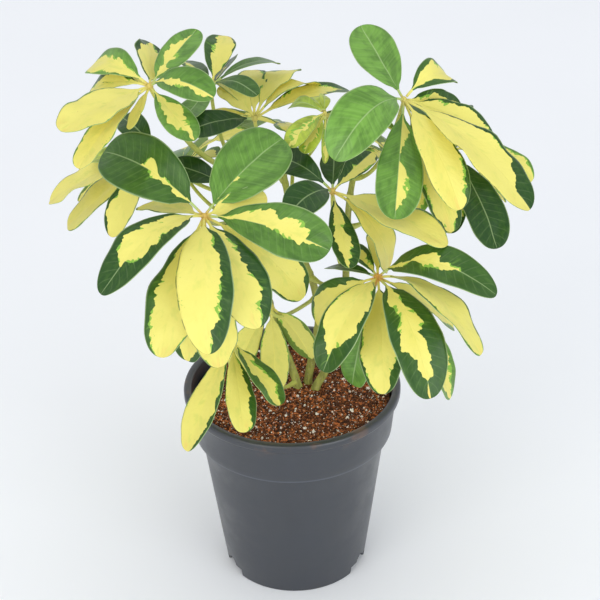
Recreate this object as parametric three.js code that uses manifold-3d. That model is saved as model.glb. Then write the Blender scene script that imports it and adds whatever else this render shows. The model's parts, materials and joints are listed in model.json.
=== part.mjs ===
// A dwarf umbrella plant with variegated leaves in a nursery pot.
// Millimetres, +Z up. The origin is on the pot's axis, on the surface that it stands on.
// The plant's front is towards -Y.
import * as THREE from 'three';
import { mergeVertices } from 'three/addons/utils/BufferGeometryUtils.js';
import Module from 'manifold-3d';

const wasm = await Module();
wasm.setup();

// Driving dimensions
const GAP = 0.3; // left between pieces that touch
const POT = {
  height: 125,
  lipRadius: 65,
  lipDepth: 5, // the thick band at the very top
  collarTopRadius: 62.4,
  collarBottomRadius: 59.8,
  collarBottom: 95.5, // height of the step under the collar
  bodyTopRadius: 56.2,
  footRadius: 43.2,
  wall: 2,
  floor: 2,
  footHeight: 5, // the floor is this far above the table
  sides: 40,
};
const FEET = { gapWidth: 20, gapsAt: [64, 180, 296] }; // degrees from the front
const DRAIN = { width: 8, top: 9, reach: 6 };
const SOIL = {
  level: 116,
  sides: 32,
  rings: 5,
  relief: 0.8,
  grains: 16,
  grainRadius: 1.9,
  clearAt: [9, 10], // no grains here, round the stems
  clearRadius: 13,
};
const STEM = { baseRadius: 2.5, topRadius: 1.7, sides: 8, steps: 12 };
const PETIOLE = { baseRadius: 1.6, tipRadius: 1.1, sides: 6, steps: 6, standOff: 0.5 };
const KNOB = { radius: 2.8, sink: 1.4 }; // sink: where the stalks start, from its centre
const LEAFLET = {
  stalk: 0.13, // share of the length that is bare stalk
  stalkWidth: 1.6,
  stalkThickness: 1.4,
  thickness: 0.8,
  fold: 0.16, // how far the halves tilt up from the midrib, as a slope
  widening: 0.9, // exponents of the outline, from the stalk and from the tip
  rounding: 0.55,
  tipShare: 0.26, // half width left at the blunt tip, as a share of the full one
  stations: [0, 0.18, 0.42, 0.68, 0.89, 1], // where the blade is measured along its length
};

// Colours
const PALETTE = {
  pot: '#4a4d52',
  soil: '#5e2f1d',
  stem: '#7c7a3a',
  cream: '#d9cf6a',
  mixed: '#9fae55',
  green: '#4d7a3f',
  young: '#b7c948',
};

// Stems: the points that each one's centre line passes through, from inside the soil to its top.
const STEMS = {
  stem_left: [
    [4.5, 8.5, 92], [3.5, 8.5, 116], [-3.8, 10, 142], [-12, 12, 173], [-18, 14, 205],
    [-21.5, 15, 232], [-24, 15, 250], [-28, 14, 268],
  ],
  stem_middle: [
    [9.5, 14, 92], [9.5, 13.5, 116], [13, 12.5, 138], [16.5, 12, 160], [14.5, 12, 184],
    [7.5, 13, 207], [1.5, 15, 234], [-3, 19, 266],
  ],
  stem_right: [
    [12.5, 7, 92], [14, 7, 116], [20, 8, 128], [26.5, 8, 150], [32, 8.5, 180],
    [33.5, 9, 212], [35, 9, 242], [38, 9, 262],
  ],
};

// Leaves. The hub is where the leaflets meet. A leaf faces a heading, in degrees from the front
// towards +X, and a pitch above the horizon. It grows from a stem at a share of that stem's height.
// Each leaflet: [clock, spread, length, breadth, bow, roll]. The clock is in degrees as seen from in
// front of the leaf, from its upper side clockwise. The spread is the angle between the leaflet and
// the leaf's facing. The bow is the rise of its middle, midway between the facing and straight up,
// as a share of its length. The roll turns its blade about its own length.
const LEAVES = [
  {
    name: 'leaf_front_left', hub: [-45, -50, 269], faces: [-3, 45], grows: ['stem_left', 0.76],
    tint: 'mixed',
    leaflets: [
      [305, 101, 72, 35, 0.15, 0], [40, 102, 65, 36, 0.08, 0], [110, 72, 77, 29, 0.09, 0],
      [154, 78, 74, 31, 0.14, -20], [175, 71, 87, 30, 0.18, 0], [193, 76, 87, 31, 0.12, 20],
      [224, 66, 78, 27, 0.22, 25], [291, 127, 53, 18, 0.05, 40], [174, 112, 83, 25, 0.12, -20],
      [188, 115, 81, 24, 0.12, 20], [125, 118, 73, 25, 0.14, 0], [70, 96, 36, 16, 0.05, 0],
    ],
  },
  {
    name: 'leaf_upper_left', hub: [-73, -10, 328], faces: [-20, 55], grows: ['stem_left', 0.98],
    tint: 'cream',
    leaflets: [
      [8, 112, 54, 19, 0.02, 0], [101, 73, 46, 19, 0.17, 0], [130, 81, 50, 18, 0, -15],
      [287, 105, 47, 22, 0.18, 10], [269, 117, 50, 17, 0.15, 10], [207, 59, 65, 27, 0.04, 10],
      [193, 74, 68, 20, 0.09, 20], [183, 81, 30, 8, 0, 20], [336, 117, 48, 22, 0, 50],
      [281, 122, 46, 15, 0.13, 30],
    ],
  },
  {
    name: 'leaf_back_left_high', hub: [-42, 45, 301], faces: [20, 70], grows: ['stem_left', 0.91],
    tint: 'mixed',
    leaflets: [
      [28, 90, 44, 18, 0.1, 0], [42, 100, 36, 12, 0.02, -50], [77, 93, 46, 14, 0.16, -25],
      [146, 67, 34, 14, 0.18, 0], [352, 110, 42, 15, 0.06, 15], [226, 84, 39, 17, 0, 20],
    ],
  },
  {
    name: 'leaf_back_middle_high', hub: [-18, 40, 282], faces: [0, 65], grows: ['stem_middle', 0.94],
    tint: 'cream',
    leaflets: [
      [322, 86, 31, 16, 0.1, 0], [334, 102, 44, 20, 0.13, 20], [358, 99, 43, 18, 0.14, 0],
      [27, 104, 52, 19, 0.2, -20], [49, 105, 52, 16, 0.22, -30], [238, 66, 50, 20, 0.06, 0],
      [291, 103, 31, 8, 0.1, 30], [62, 100, 63, 17, 0.1, -20],
    ],
  },
  {
    name: 'leaf_young_shoot', hub: [22, 15, 297], faces: [-20, 50], grows: ['stem_middle', 0.97],
    tint: 'young',
    leaflets: [
      [203, 69, 32, 13, 0.1, 0], [189, 79, 28, 12, 0, 0], [280, 106, 26, 10, 0.2, 20],
      [312, 111, 18, 8, 0.12, 30], [340, 114, 16, 7, 0.1, 40], [166, 92, 30, 6, 0, -50],
    ],
  },
  {
    name: 'leaf_upper_right', hub: [65, -5, 314], faces: [5, 48], grows: ['stem_right', 0.98],
    tint: 'mixed',
    leaflets: [
      [342, 107, 59, 25, 0, 0], [228, 74, 60, 30, 0.26, 0], [190, 86, 71, 26, 0.02, 0],
      [161, 84, 72, 23, 0.12, -10], [163, 104, 77, 25, 0.04, -25], [140, 83, 94, 30, 0.12, -30],
      [110, 112, 58, 20, 0.08, -15], [62, 114, 36, 20, 0.34, -10], [88, 118, 40, 14, 0.04, 0],
    ],
  },
  {
    name: 'leaf_right', hub: [93, 25, 267], faces: [30, 55], grows: ['stem_right', 0.78],
    tint: 'green',
    leaflets: [
      [185, 86, 68, 26, 0.09, 0], [152, 64, 54, 19, 0.16, 0], [206, 96, 52, 20, 0.06, 0],
      [235, 110, 48, 17, 0.08, 0], [49, 97, 38, 10, 0.2, -30], [80, 106, 40, 16, 0.06, -20],
      [0, 106, 44, 17, 0.1, 0],
    ],
  },
  {
    name: 'leaf_middle', hub: [25, -20, 266], faces: [0, 60], grows: ['stem_right', 0.67],
    tint: 'mixed',
    leaflets: [
      [310, 104, 48, 20, 0.16, 0], [4, 112, 42, 16, 0.04, -20], [37, 104, 40, 15, 0.04, -10],
      [127, 78, 77, 27, 0.06, -25], [171, 84, 52, 17, 0, -20], [140, 118, 54, 23, 0.26, -30],
      [226, 66, 38, 22, 0.18, 0],
    ],
  },
  {
    name: 'leaf_front_right', hub: [49, -50, 228], faces: [8, 48], grows: ['stem_middle', 0.62],
    tint: 'mixed',
    leaflets: [
      [115, 60, 72, 24, 0.27, -15], [141, 68, 78, 23, 0.25, -40], [167, 79, 78, 30, 0.22, -10],
      [187, 77, 72, 25, 0.08, 30], [216, 76, 69, 25, 0.22, 25], [249, 134, 49, 20, 0.2, 10],
      [198, 132, 68, 20, 0.16, 30], [152, 108, 79, 20, 0.16, -30], [118, 122, 60, 18, 0.06, -40],
      [8, 124, 36, 14, 0.1, 30], [298, 122, 34, 11, 0.1, 45], [335, 116, 32, 13, 0.05, 20],
    ],
  },
  {
    name: 'leaf_low_middle', hub: [-11, -20, 192], faces: [180, 20], grows: ['stem_middle', 0.535],
    tint: 'mixed',
    leaflets: [
      [182, 118, 55, 17, 0.06, 0], [153, 113, 50, 17, 0.08, 0], [216, 110, 42, 17, 0.06, 0],
    ],
  },
  {
    name: 'leaf_low_left', hub: [-33, -48, 187], faces: [-15, 60], grows: ['stem_left', 0.17],
    tint: 'cream',
    leaflets: [
      [189, 94, 69, 21, 0.04, 20], [161, 96, 55, 18, 0.02, -30], [134, 90, 50, 19, 0.06, -40],
    ],
  },
  {
    name: 'leaf_left', hub: [-74, 8, 280], faces: [-40, 60], grows: ['stem_left', 0.82],
    tint: 'cream',
    leaflets: [
      [227, 100, 72, 27, 0.04, 20], [217, 111, 72, 26, 0.02, 15], [184, 108, 55, 20, 0.05, 0],
      [241, 91, 41, 18, 0.04, 20], [288, 85, 34, 16, 0.1, 0],
    ],
  },
  {
    name: 'leaf_inner', hub: [-34, -5, 264], faces: [-10, 70], grows: ['stem_left', 0.88],
    tint: 'green',
    leaflets: [
      [284, 82, 35, 19, 0.04, 0], [60, 92, 26, 12, 0.04, 0], [130, 92, 34, 14, 0.06, 0],
    ],
  },
  {
    name: 'leaf_back_left', hub: [-62, 52, 244], faces: [-140, 50], grows: ['stem_left', 0.66],
    tint: 'mixed',
    leaflets: [
      [2, 98, 42, 19, 0.1, 0], [48, 96, 44, 19, 0.1, 0], [95, 86, 62, 24, 0.16, 0],
      [138, 80, 68, 25, 0.14, 0], [180, 80, 72, 26, 0.1, 0], [222, 82, 68, 25, 0.14, 0],
      [266, 90, 60, 23, 0.16, 0],
    ],
  },
  {
    name: 'leaf_back_middle', hub: [4, 62, 262], faces: [178, 48], grows: ['stem_middle', 0.86],
    tint: 'mixed',
    leaflets: [
      [5, 104, 38, 17, 0.1, 0], [98, 84, 58, 24, 0.12, 0], [142, 82, 70, 26, 0.14, 0],
      [184, 80, 76, 26, 0.1, 0], [223, 82, 66, 25, 0.14, 0],
      [270, 90, 60, 23, 0.16, 0], [316, 104, 44, 19, 0.1, 0],
    ],
  },
  {
    name: 'leaf_back_right', hub: [68, 50, 242], faces: [138, 50], grows: ['stem_right', 0.84],
    tint: 'mixed',
    leaflets: [
      [0, 98, 42, 19, 0.1, 0], [46, 96, 50, 21, 0.12, 0], [92, 88, 60, 24, 0.16, 0],
      [136, 82, 68, 25, 0.14, 0], [178, 80, 72, 26, 0.1, 0], [220, 82, 68, 24, 0.14, 0],
      [264, 90, 58, 22, 0.16, 0],
    ],
  },
];

const UP = new THREE.Vector3(0, 0, 1);
const radians = THREE.MathUtils.degToRad;
const vector = (list) => new THREE.Vector3(...list);

// Solids
function solidOf(geometry) {
  const bare = geometry.clone();
  bare.deleteAttribute('normal');
  bare.deleteAttribute('uv');
  const merged = mergeVertices(bare, 1e-4);
  const vertProperties = new Float32Array(merged.attributes.position.array);
  const triVerts = new Uint32Array(merged.index.array);
  return new wasm.Manifold(new wasm.Mesh({ numProp: 3, vertProperties, triVerts }));
}

function geometryOf(solid) {
  const mesh = solid.getMesh();
  const geometry = new THREE.BufferGeometry();
  geometry.setAttribute('position', new THREE.BufferAttribute(mesh.vertProperties, 3));
  geometry.setIndex(new THREE.BufferAttribute(mesh.triVerts, 1));
  return geometry;
}

// A closed skin over rings that have the same even number of points. Opposite faces are split
// along the same diagonal, so that the two sides of a thin bent blade never cross.
function loft(rings) {
  const count = rings[0].length;
  const positions = rings.flat().flatMap((point) => point.toArray());
  const index = [];
  for (let ring = 0; ring + 1 < rings.length; ring += 1) {
    for (let side = 0; side < count; side += 1) {
      const next = (side + 1) % count;
      const [a, b] = [ring * count + side, ring * count + next];
      const [c, d] = [a + count, b + count];
      if (side < count / 2) index.push(a, b, d, a, d, c);
      else index.push(a, b, c, b, d, c);
    }
  }
  const last = (rings.length - 1) * count;
  for (let side = 0; side + 1 < count / 2; side += 1) {
    const [a, b, c, d] = [side, side + 1, count - 2 - side, count - 1 - side];
    index.push(a, c, b, a, d, c);
    index.push(last + a, last + b, last + c, last + a, last + c, last + d);
  }
  const geometry = new THREE.BufferGeometry();
  geometry.setAttribute('position', new THREE.Float32BufferAttribute(positions, 3));
  geometry.setIndex(index);
  return geometry;
}

// A round rod along a curve, with a radius that changes evenly from its start to its end.
function rod(curve, startRadius, endRadius, sides, steps) {
  const across = new THREE.Vector3(1, 0, 0);
  const rings = [];
  for (let step = 0; step <= steps; step += 1) {
    const share = step / steps;
    const centre = curve.getPoint(share);
    const along = curve.getTangent(share);
    across.addScaledVector(along, -across.dot(along)).normalize();
    const other = new THREE.Vector3().crossVectors(along, across);
    const radius = THREE.MathUtils.lerp(startRadius, endRadius, share);
    rings.push(Array.from({ length: sides }, (_, side) => {
      const angle = (2 * Math.PI * side) / sides;
      return centre.clone()
        .addScaledVector(across, radius * Math.cos(angle))
        .addScaledVector(other, radius * Math.sin(angle));
    }));
  }
  return loft(rings);
}

// Pot
const outerRadius = (z) => THREE.MathUtils.mapLinear(
  z, 0, POT.collarBottom, POT.footRadius, POT.bodyTopRadius,
);
const innerRadius = (z) => (z > POT.collarBottom
  ? THREE.MathUtils.mapLinear(
    z, POT.collarBottom, POT.height, POT.collarBottomRadius, POT.collarTopRadius,
  )
  : outerRadius(z)) - POT.wall;
const floorTop = POT.footHeight + POT.floor;

function potSolid() {
  const lipBottom = POT.height - POT.lipDepth;
  const profile = [
    [0, POT.footHeight],
    [outerRadius(0) - POT.wall, POT.footHeight],
    [outerRadius(0) - POT.wall, 0],
    [outerRadius(0), 0],
    [outerRadius(POT.collarBottom - 3), POT.collarBottom - 3],
    [POT.bodyTopRadius + 0.6, POT.collarBottom - 1.2],
    [POT.collarBottomRadius - 0.8, POT.collarBottom - 0.6],
    [POT.collarBottomRadius, POT.collarBottom + 0.8],
    [POT.collarTopRadius, lipBottom - 1],
    [POT.lipRadius - 0.3, lipBottom],
    [POT.lipRadius, lipBottom + 1.2],
    [POT.lipRadius, POT.height - 1.2],
    [POT.lipRadius - 1.2, POT.height],
    [POT.collarTopRadius - 1.2, POT.height],
    [innerRadius(POT.height), POT.height - 1],
    [innerRadius(POT.collarBottom + 1), POT.collarBottom + 1],
    [innerRadius(POT.collarBottom), POT.collarBottom - 3],
    [innerRadius(floorTop), floorTop],
    [0, floorTop],
  ].map(([radius, z]) => new THREE.Vector2(radius, z));
  const shell = new THREE.LatheGeometry(profile, POT.sides).rotateX(Math.PI / 2);
  let pot = solidOf(shell);
  const arch = DRAIN.width / 2;
  FEET.gapsAt.map(radians).forEach((heading) => {
    pot = pot.subtract(solidOf(radialCut(FEET.gapWidth, POT.footHeight, 0, heading)));
    pot = pot.subtract(solidOf(radialCut(DRAIN.width, DRAIN.top - arch, arch, heading)));
  });
  return pot;
}

// A slot seen from outside the pot: straight sides up to a height, with a round top above them,
// cut through the wall towards the axis.
function radialCut(width, straight, arch, heading) {
  const outline = new THREE.Shape();
  outline.moveTo(-width / 2, -1);
  outline.lineTo(width / 2, -1);
  outline.lineTo(width / 2, straight);
  if (arch > 0) outline.absarc(0, straight, arch, 0, Math.PI, false);
  else outline.lineTo(-width / 2, straight);
  const inner = POT.footRadius - DRAIN.reach;
  const cut = new THREE.ExtrudeGeometry(outline, {
    depth: POT.wall + 2 * DRAIN.reach, bevelEnabled: false, curveSegments: 6,
  });
  return cut.rotateX(Math.PI / 2).translate(0, -inner, 0).rotateZ(heading);
}

// Soil
const relief = (x, y) => SOIL.relief * (
  Math.sin(0.11 * x + 1.3) * Math.cos(0.09 * y) + 0.5 * Math.sin(0.07 * x - 0.13 * y)
);

function soilSolid() {
  const edge = innerRadius(SOIL.level) - GAP;
  const shoulder = SOIL.level - 4;
  const profile = [[0, floorTop + GAP], [innerRadius(floorTop) - GAP - 0.5, floorTop + GAP]];
  profile.push([innerRadius(POT.collarBottom) - GAP - 2.6, POT.collarBottom - 5]);
  profile.push([innerRadius(shoulder) - GAP - 0.5, shoulder]);
  profile.push([edge - 0.5, SOIL.level - 2]);
  for (let ring = SOIL.rings - 1; ring >= 0; ring -= 1) {
    profile.push([(edge * ring) / SOIL.rings, SOIL.level]);
  }
  const points = profile.map(([radius, z]) => new THREE.Vector2(radius, z));
  const body = new THREE.LatheGeometry(points, SOIL.sides).rotateX(Math.PI / 2);
  const place = body.attributes.position;
  for (let i = 0; i < place.count; i += 1) {
    if (place.getZ(i) > SOIL.level - 1) {
      place.setZ(i, SOIL.level + relief(place.getX(i), place.getY(i)));
    }
  }
  return grainPlaces(edge - 4).reduce((soil, grain) => soil.add(solidOf(grain)), solidOf(body));
}

// Pale grains and chips that stand out of the soil, spread evenly by the golden angle, with a
// clear patch round the stems.
function grainPlaces(reach) {
  const goldenAngle = Math.PI * (3 - Math.sqrt(5));
  const patch = new THREE.Vector2(...SOIL.clearAt);
  const places = Array.from({ length: SOIL.grains }, (_, i) => {
    const radius = reach * Math.sqrt((i + 0.5) / SOIL.grains);
    return new THREE.Vector2(radius, 0).rotateAround(new THREE.Vector2(), i * goldenAngle);
  });
  return places.filter((place) => place.distanceTo(patch) > SOIL.clearRadius).map(({ x, y }, i) => {
    const size = SOIL.grainRadius * (0.6 + 0.4 * Math.abs(Math.sin(2.4 * i + 1)));
    return new THREE.OctahedronGeometry(size).rotateX(i).rotateZ(1.7 * i)
      .translate(x, y, SOIL.level + relief(x, y) - 0.4 * size);
  });
}

// Stems
const stemCurves = Object.fromEntries(Object.entries(STEMS).map(
  ([name, points]) => [name, new THREE.CatmullRomCurve3(points.map(vector))],
));
const stemRadius = (share) => THREE.MathUtils.lerp(STEM.baseRadius, STEM.topRadius, share);

function stemGeometry(name, extra = 0) {
  return rod(
    stemCurves[name], STEM.baseRadius + extra, STEM.topRadius + extra, STEM.sides, STEM.steps,
  );
}

// Leaves
function facing([heading, pitch]) {
  const [h, p] = [radians(heading), radians(pitch)];
  const out = new THREE.Vector3(
    Math.cos(p) * Math.sin(h), -Math.cos(p) * Math.cos(h), Math.sin(p),
  );
  const right = new THREE.Vector3(Math.cos(h), Math.sin(h), 0);
  return { out, right, up: new THREE.Vector3().crossVectors(out, right) };
}

// Half the blade's width at a share of its length, as a share of the greatest half width.
const widest = LEAFLET.widening / (LEAFLET.widening + LEAFLET.rounding);
const rawOutline = (share) => share ** LEAFLET.widening * (1 - share) ** LEAFLET.rounding;
const outline = (share) => Math.max(
  rawOutline(share) / rawOutline(widest), share > widest ? LEAFLET.tipShare : 0,
);

function leafletGeometry(hub, face, [clock, spread, length, breadth, bow, roll]) {
  const [turn, lean] = [radians(clock), radians(spread)];
  const chord = face.out.clone().multiplyScalar(Math.cos(lean))
    .addScaledVector(face.up, Math.sin(lean) * Math.cos(turn))
    .addScaledVector(face.right, Math.sin(lean) * Math.sin(turn));
  const level = (direction) => direction.clone().addScaledVector(chord, -direction.dot(chord));
  const side = new THREE.Vector3().crossVectors(chord, level(face.out).normalize());
  const rise = level(face.out).normalize().add(level(UP)).normalize();
  const section = (along, half, thickness, fold) => {
    const centre = hub.clone().addScaledVector(chord, length * along)
      .addScaledVector(rise, 4 * bow * length * along * (1 - along));
    const tangent = chord.clone().addScaledVector(rise, 4 * bow * (1 - 2 * along)).normalize();
    const across = side.clone().addScaledVector(tangent, -side.dot(tangent)).normalize()
      .applyAxisAngle(tangent, radians(roll));
    const flat = new THREE.Vector3().crossVectors(across, tangent);
    const at = (offset, face) => centre.clone().addScaledVector(across, offset * half)
      .addScaledVector(flat, Math.abs(offset) * fold * half + (face * thickness) / 2);
    return [at(-1, 1), at(0, 1), at(1, 1), at(1, -1), at(0, -1), at(-1, -1)];
  };
  const stalk = [KNOB.sink / length, LEAFLET.stalk * 0.9].map(
    (along) => section(along, LEAFLET.stalkWidth / 2, LEAFLET.stalkThickness, 0),
  );
  const blade = LEAFLET.stations.slice(1).map((share) => section(
    LEAFLET.stalk + (1 - LEAFLET.stalk) * share,
    (breadth / 2) * outline(share), LEAFLET.thickness, LEAFLET.fold,
  ));
  return loft([...stalk, ...blade]);
}

// The petiole leaves its stem level, bends up, and meets the hub from behind the leaf.
function petioleGeometry(hub, face, [stem, share]) {
  const root = stemCurves[stem].getPoint(share);
  const outward = hub.clone().sub(root).setZ(0).normalize();
  const start = root.addScaledVector(outward, stemRadius(share) + PETIOLE.standOff);
  const reach = start.distanceTo(hub);
  const curve = new THREE.CubicBezierCurve3(
    start,
    start.clone().addScaledVector(outward, 0.25 * reach),
    hub.clone().addScaledVector(face.out, -0.4 * reach),
    hub.clone(),
  );
  return rod(curve, PETIOLE.baseRadius, PETIOLE.tipRadius, PETIOLE.sides, PETIOLE.steps);
}

function leafSolid(leaf) {
  const hub = vector(leaf.hub);
  const face = facing(leaf.faces);
  const knob = new THREE.IcosahedronGeometry(KNOB.radius).translate(...leaf.hub);
  const pieces = [knob, petioleGeometry(hub, face, leaf.grows)];
  leaf.leaflets.forEach((leaflet) => pieces.push(leafletGeometry(hub, face, leaflet)));
  return wasm.Manifold.union(pieces.map(solidOf));
}

// Assembly
const plant = new THREE.Group();

function addPiece(name, geometry, tint, roughness) {
  const material = new THREE.MeshStandardMaterial({
    color: PALETTE[tint], roughness, metalness: 0, flatShading: true,
  });
  const mesh = new THREE.Mesh(geometry, material);
  mesh.name = name;
  plant.add(mesh);
}

const stemNames = Object.keys(STEMS);
const soilWithHoles = stemNames.reduce((soil, name) => {
  const hole = solidOf(stemGeometry(name, GAP + 0.1));
  return soil.subtract(hole).subtract(hole.translate(0, 0, -1));
}, soilSolid());
addPiece('pot', geometryOf(potSolid()), 'pot', 0.55);
addPiece('soil', geometryOf(soilWithHoles), 'soil', 0.95);
stemNames.forEach((name) => addPiece(name, stemGeometry(name), 'stem', 0.7));
LEAVES.forEach((leaf) => addPiece(leaf.name, geometryOf(leafSolid(leaf)), leaf.tint, 0.45));

export default plant;
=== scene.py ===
import functools
import json
import math
import random

import bmesh
import bpy
from bpy.props import FloatProperty, FloatVectorProperty, IntProperty, PointerProperty
from mathutils import Matrix, Quaternion, Vector, noise

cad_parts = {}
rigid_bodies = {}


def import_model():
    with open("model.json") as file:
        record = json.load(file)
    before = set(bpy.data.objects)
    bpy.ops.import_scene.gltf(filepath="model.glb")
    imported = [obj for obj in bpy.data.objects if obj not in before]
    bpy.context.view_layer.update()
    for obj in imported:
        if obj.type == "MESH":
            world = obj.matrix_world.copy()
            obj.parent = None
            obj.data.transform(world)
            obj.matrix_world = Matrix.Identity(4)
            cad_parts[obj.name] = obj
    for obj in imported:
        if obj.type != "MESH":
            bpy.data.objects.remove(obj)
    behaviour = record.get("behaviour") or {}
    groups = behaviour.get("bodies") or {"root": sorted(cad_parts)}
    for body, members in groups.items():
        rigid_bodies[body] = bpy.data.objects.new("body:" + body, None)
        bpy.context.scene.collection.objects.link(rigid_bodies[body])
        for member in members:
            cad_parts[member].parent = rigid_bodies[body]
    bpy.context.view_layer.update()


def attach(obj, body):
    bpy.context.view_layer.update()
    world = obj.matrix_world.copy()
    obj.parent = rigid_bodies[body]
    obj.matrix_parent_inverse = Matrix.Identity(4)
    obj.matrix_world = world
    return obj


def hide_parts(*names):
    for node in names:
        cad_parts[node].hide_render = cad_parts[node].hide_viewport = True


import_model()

bl_info = {
    "name": "Potted Umbrella Plant",
    "version": (1, 0, 0),
    "blender": (4, 5, 0),
    "location": "3D View > Sidebar > Umbrella Plant",
    "description": "Finishes an umbrella plant in its nursery pot",
    "category": "Object",
}

MM = 0.001
BODY = "root"

# Stems: the points that each centre line passes through, in mm, from inside the soil to the top.
STEMS = {
    "stem_left": [(4.5, 8.5, 92), (3.5, 8.5, 116), (-3.8, 10, 142), (-12, 12, 173),
                  (-18, 14, 205), (-21.5, 15, 232), (-24, 15, 250), (-28, 14, 268)],
    "stem_middle": [(9.5, 14, 92), (9.5, 13.5, 116), (13, 12.5, 138), (16.5, 12, 160),
                    (14.5, 12, 184), (7.5, 13, 207), (1.5, 15, 234), (-3, 19, 266)],
    "stem_right": [(12.5, 7, 92), (14, 7, 116), (20, 8, 128), (26.5, 8, 150),
                   (32, 8.5, 180), (33.5, 9, 212), (35, 9, 242), (38, 9, 262)],
}

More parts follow.
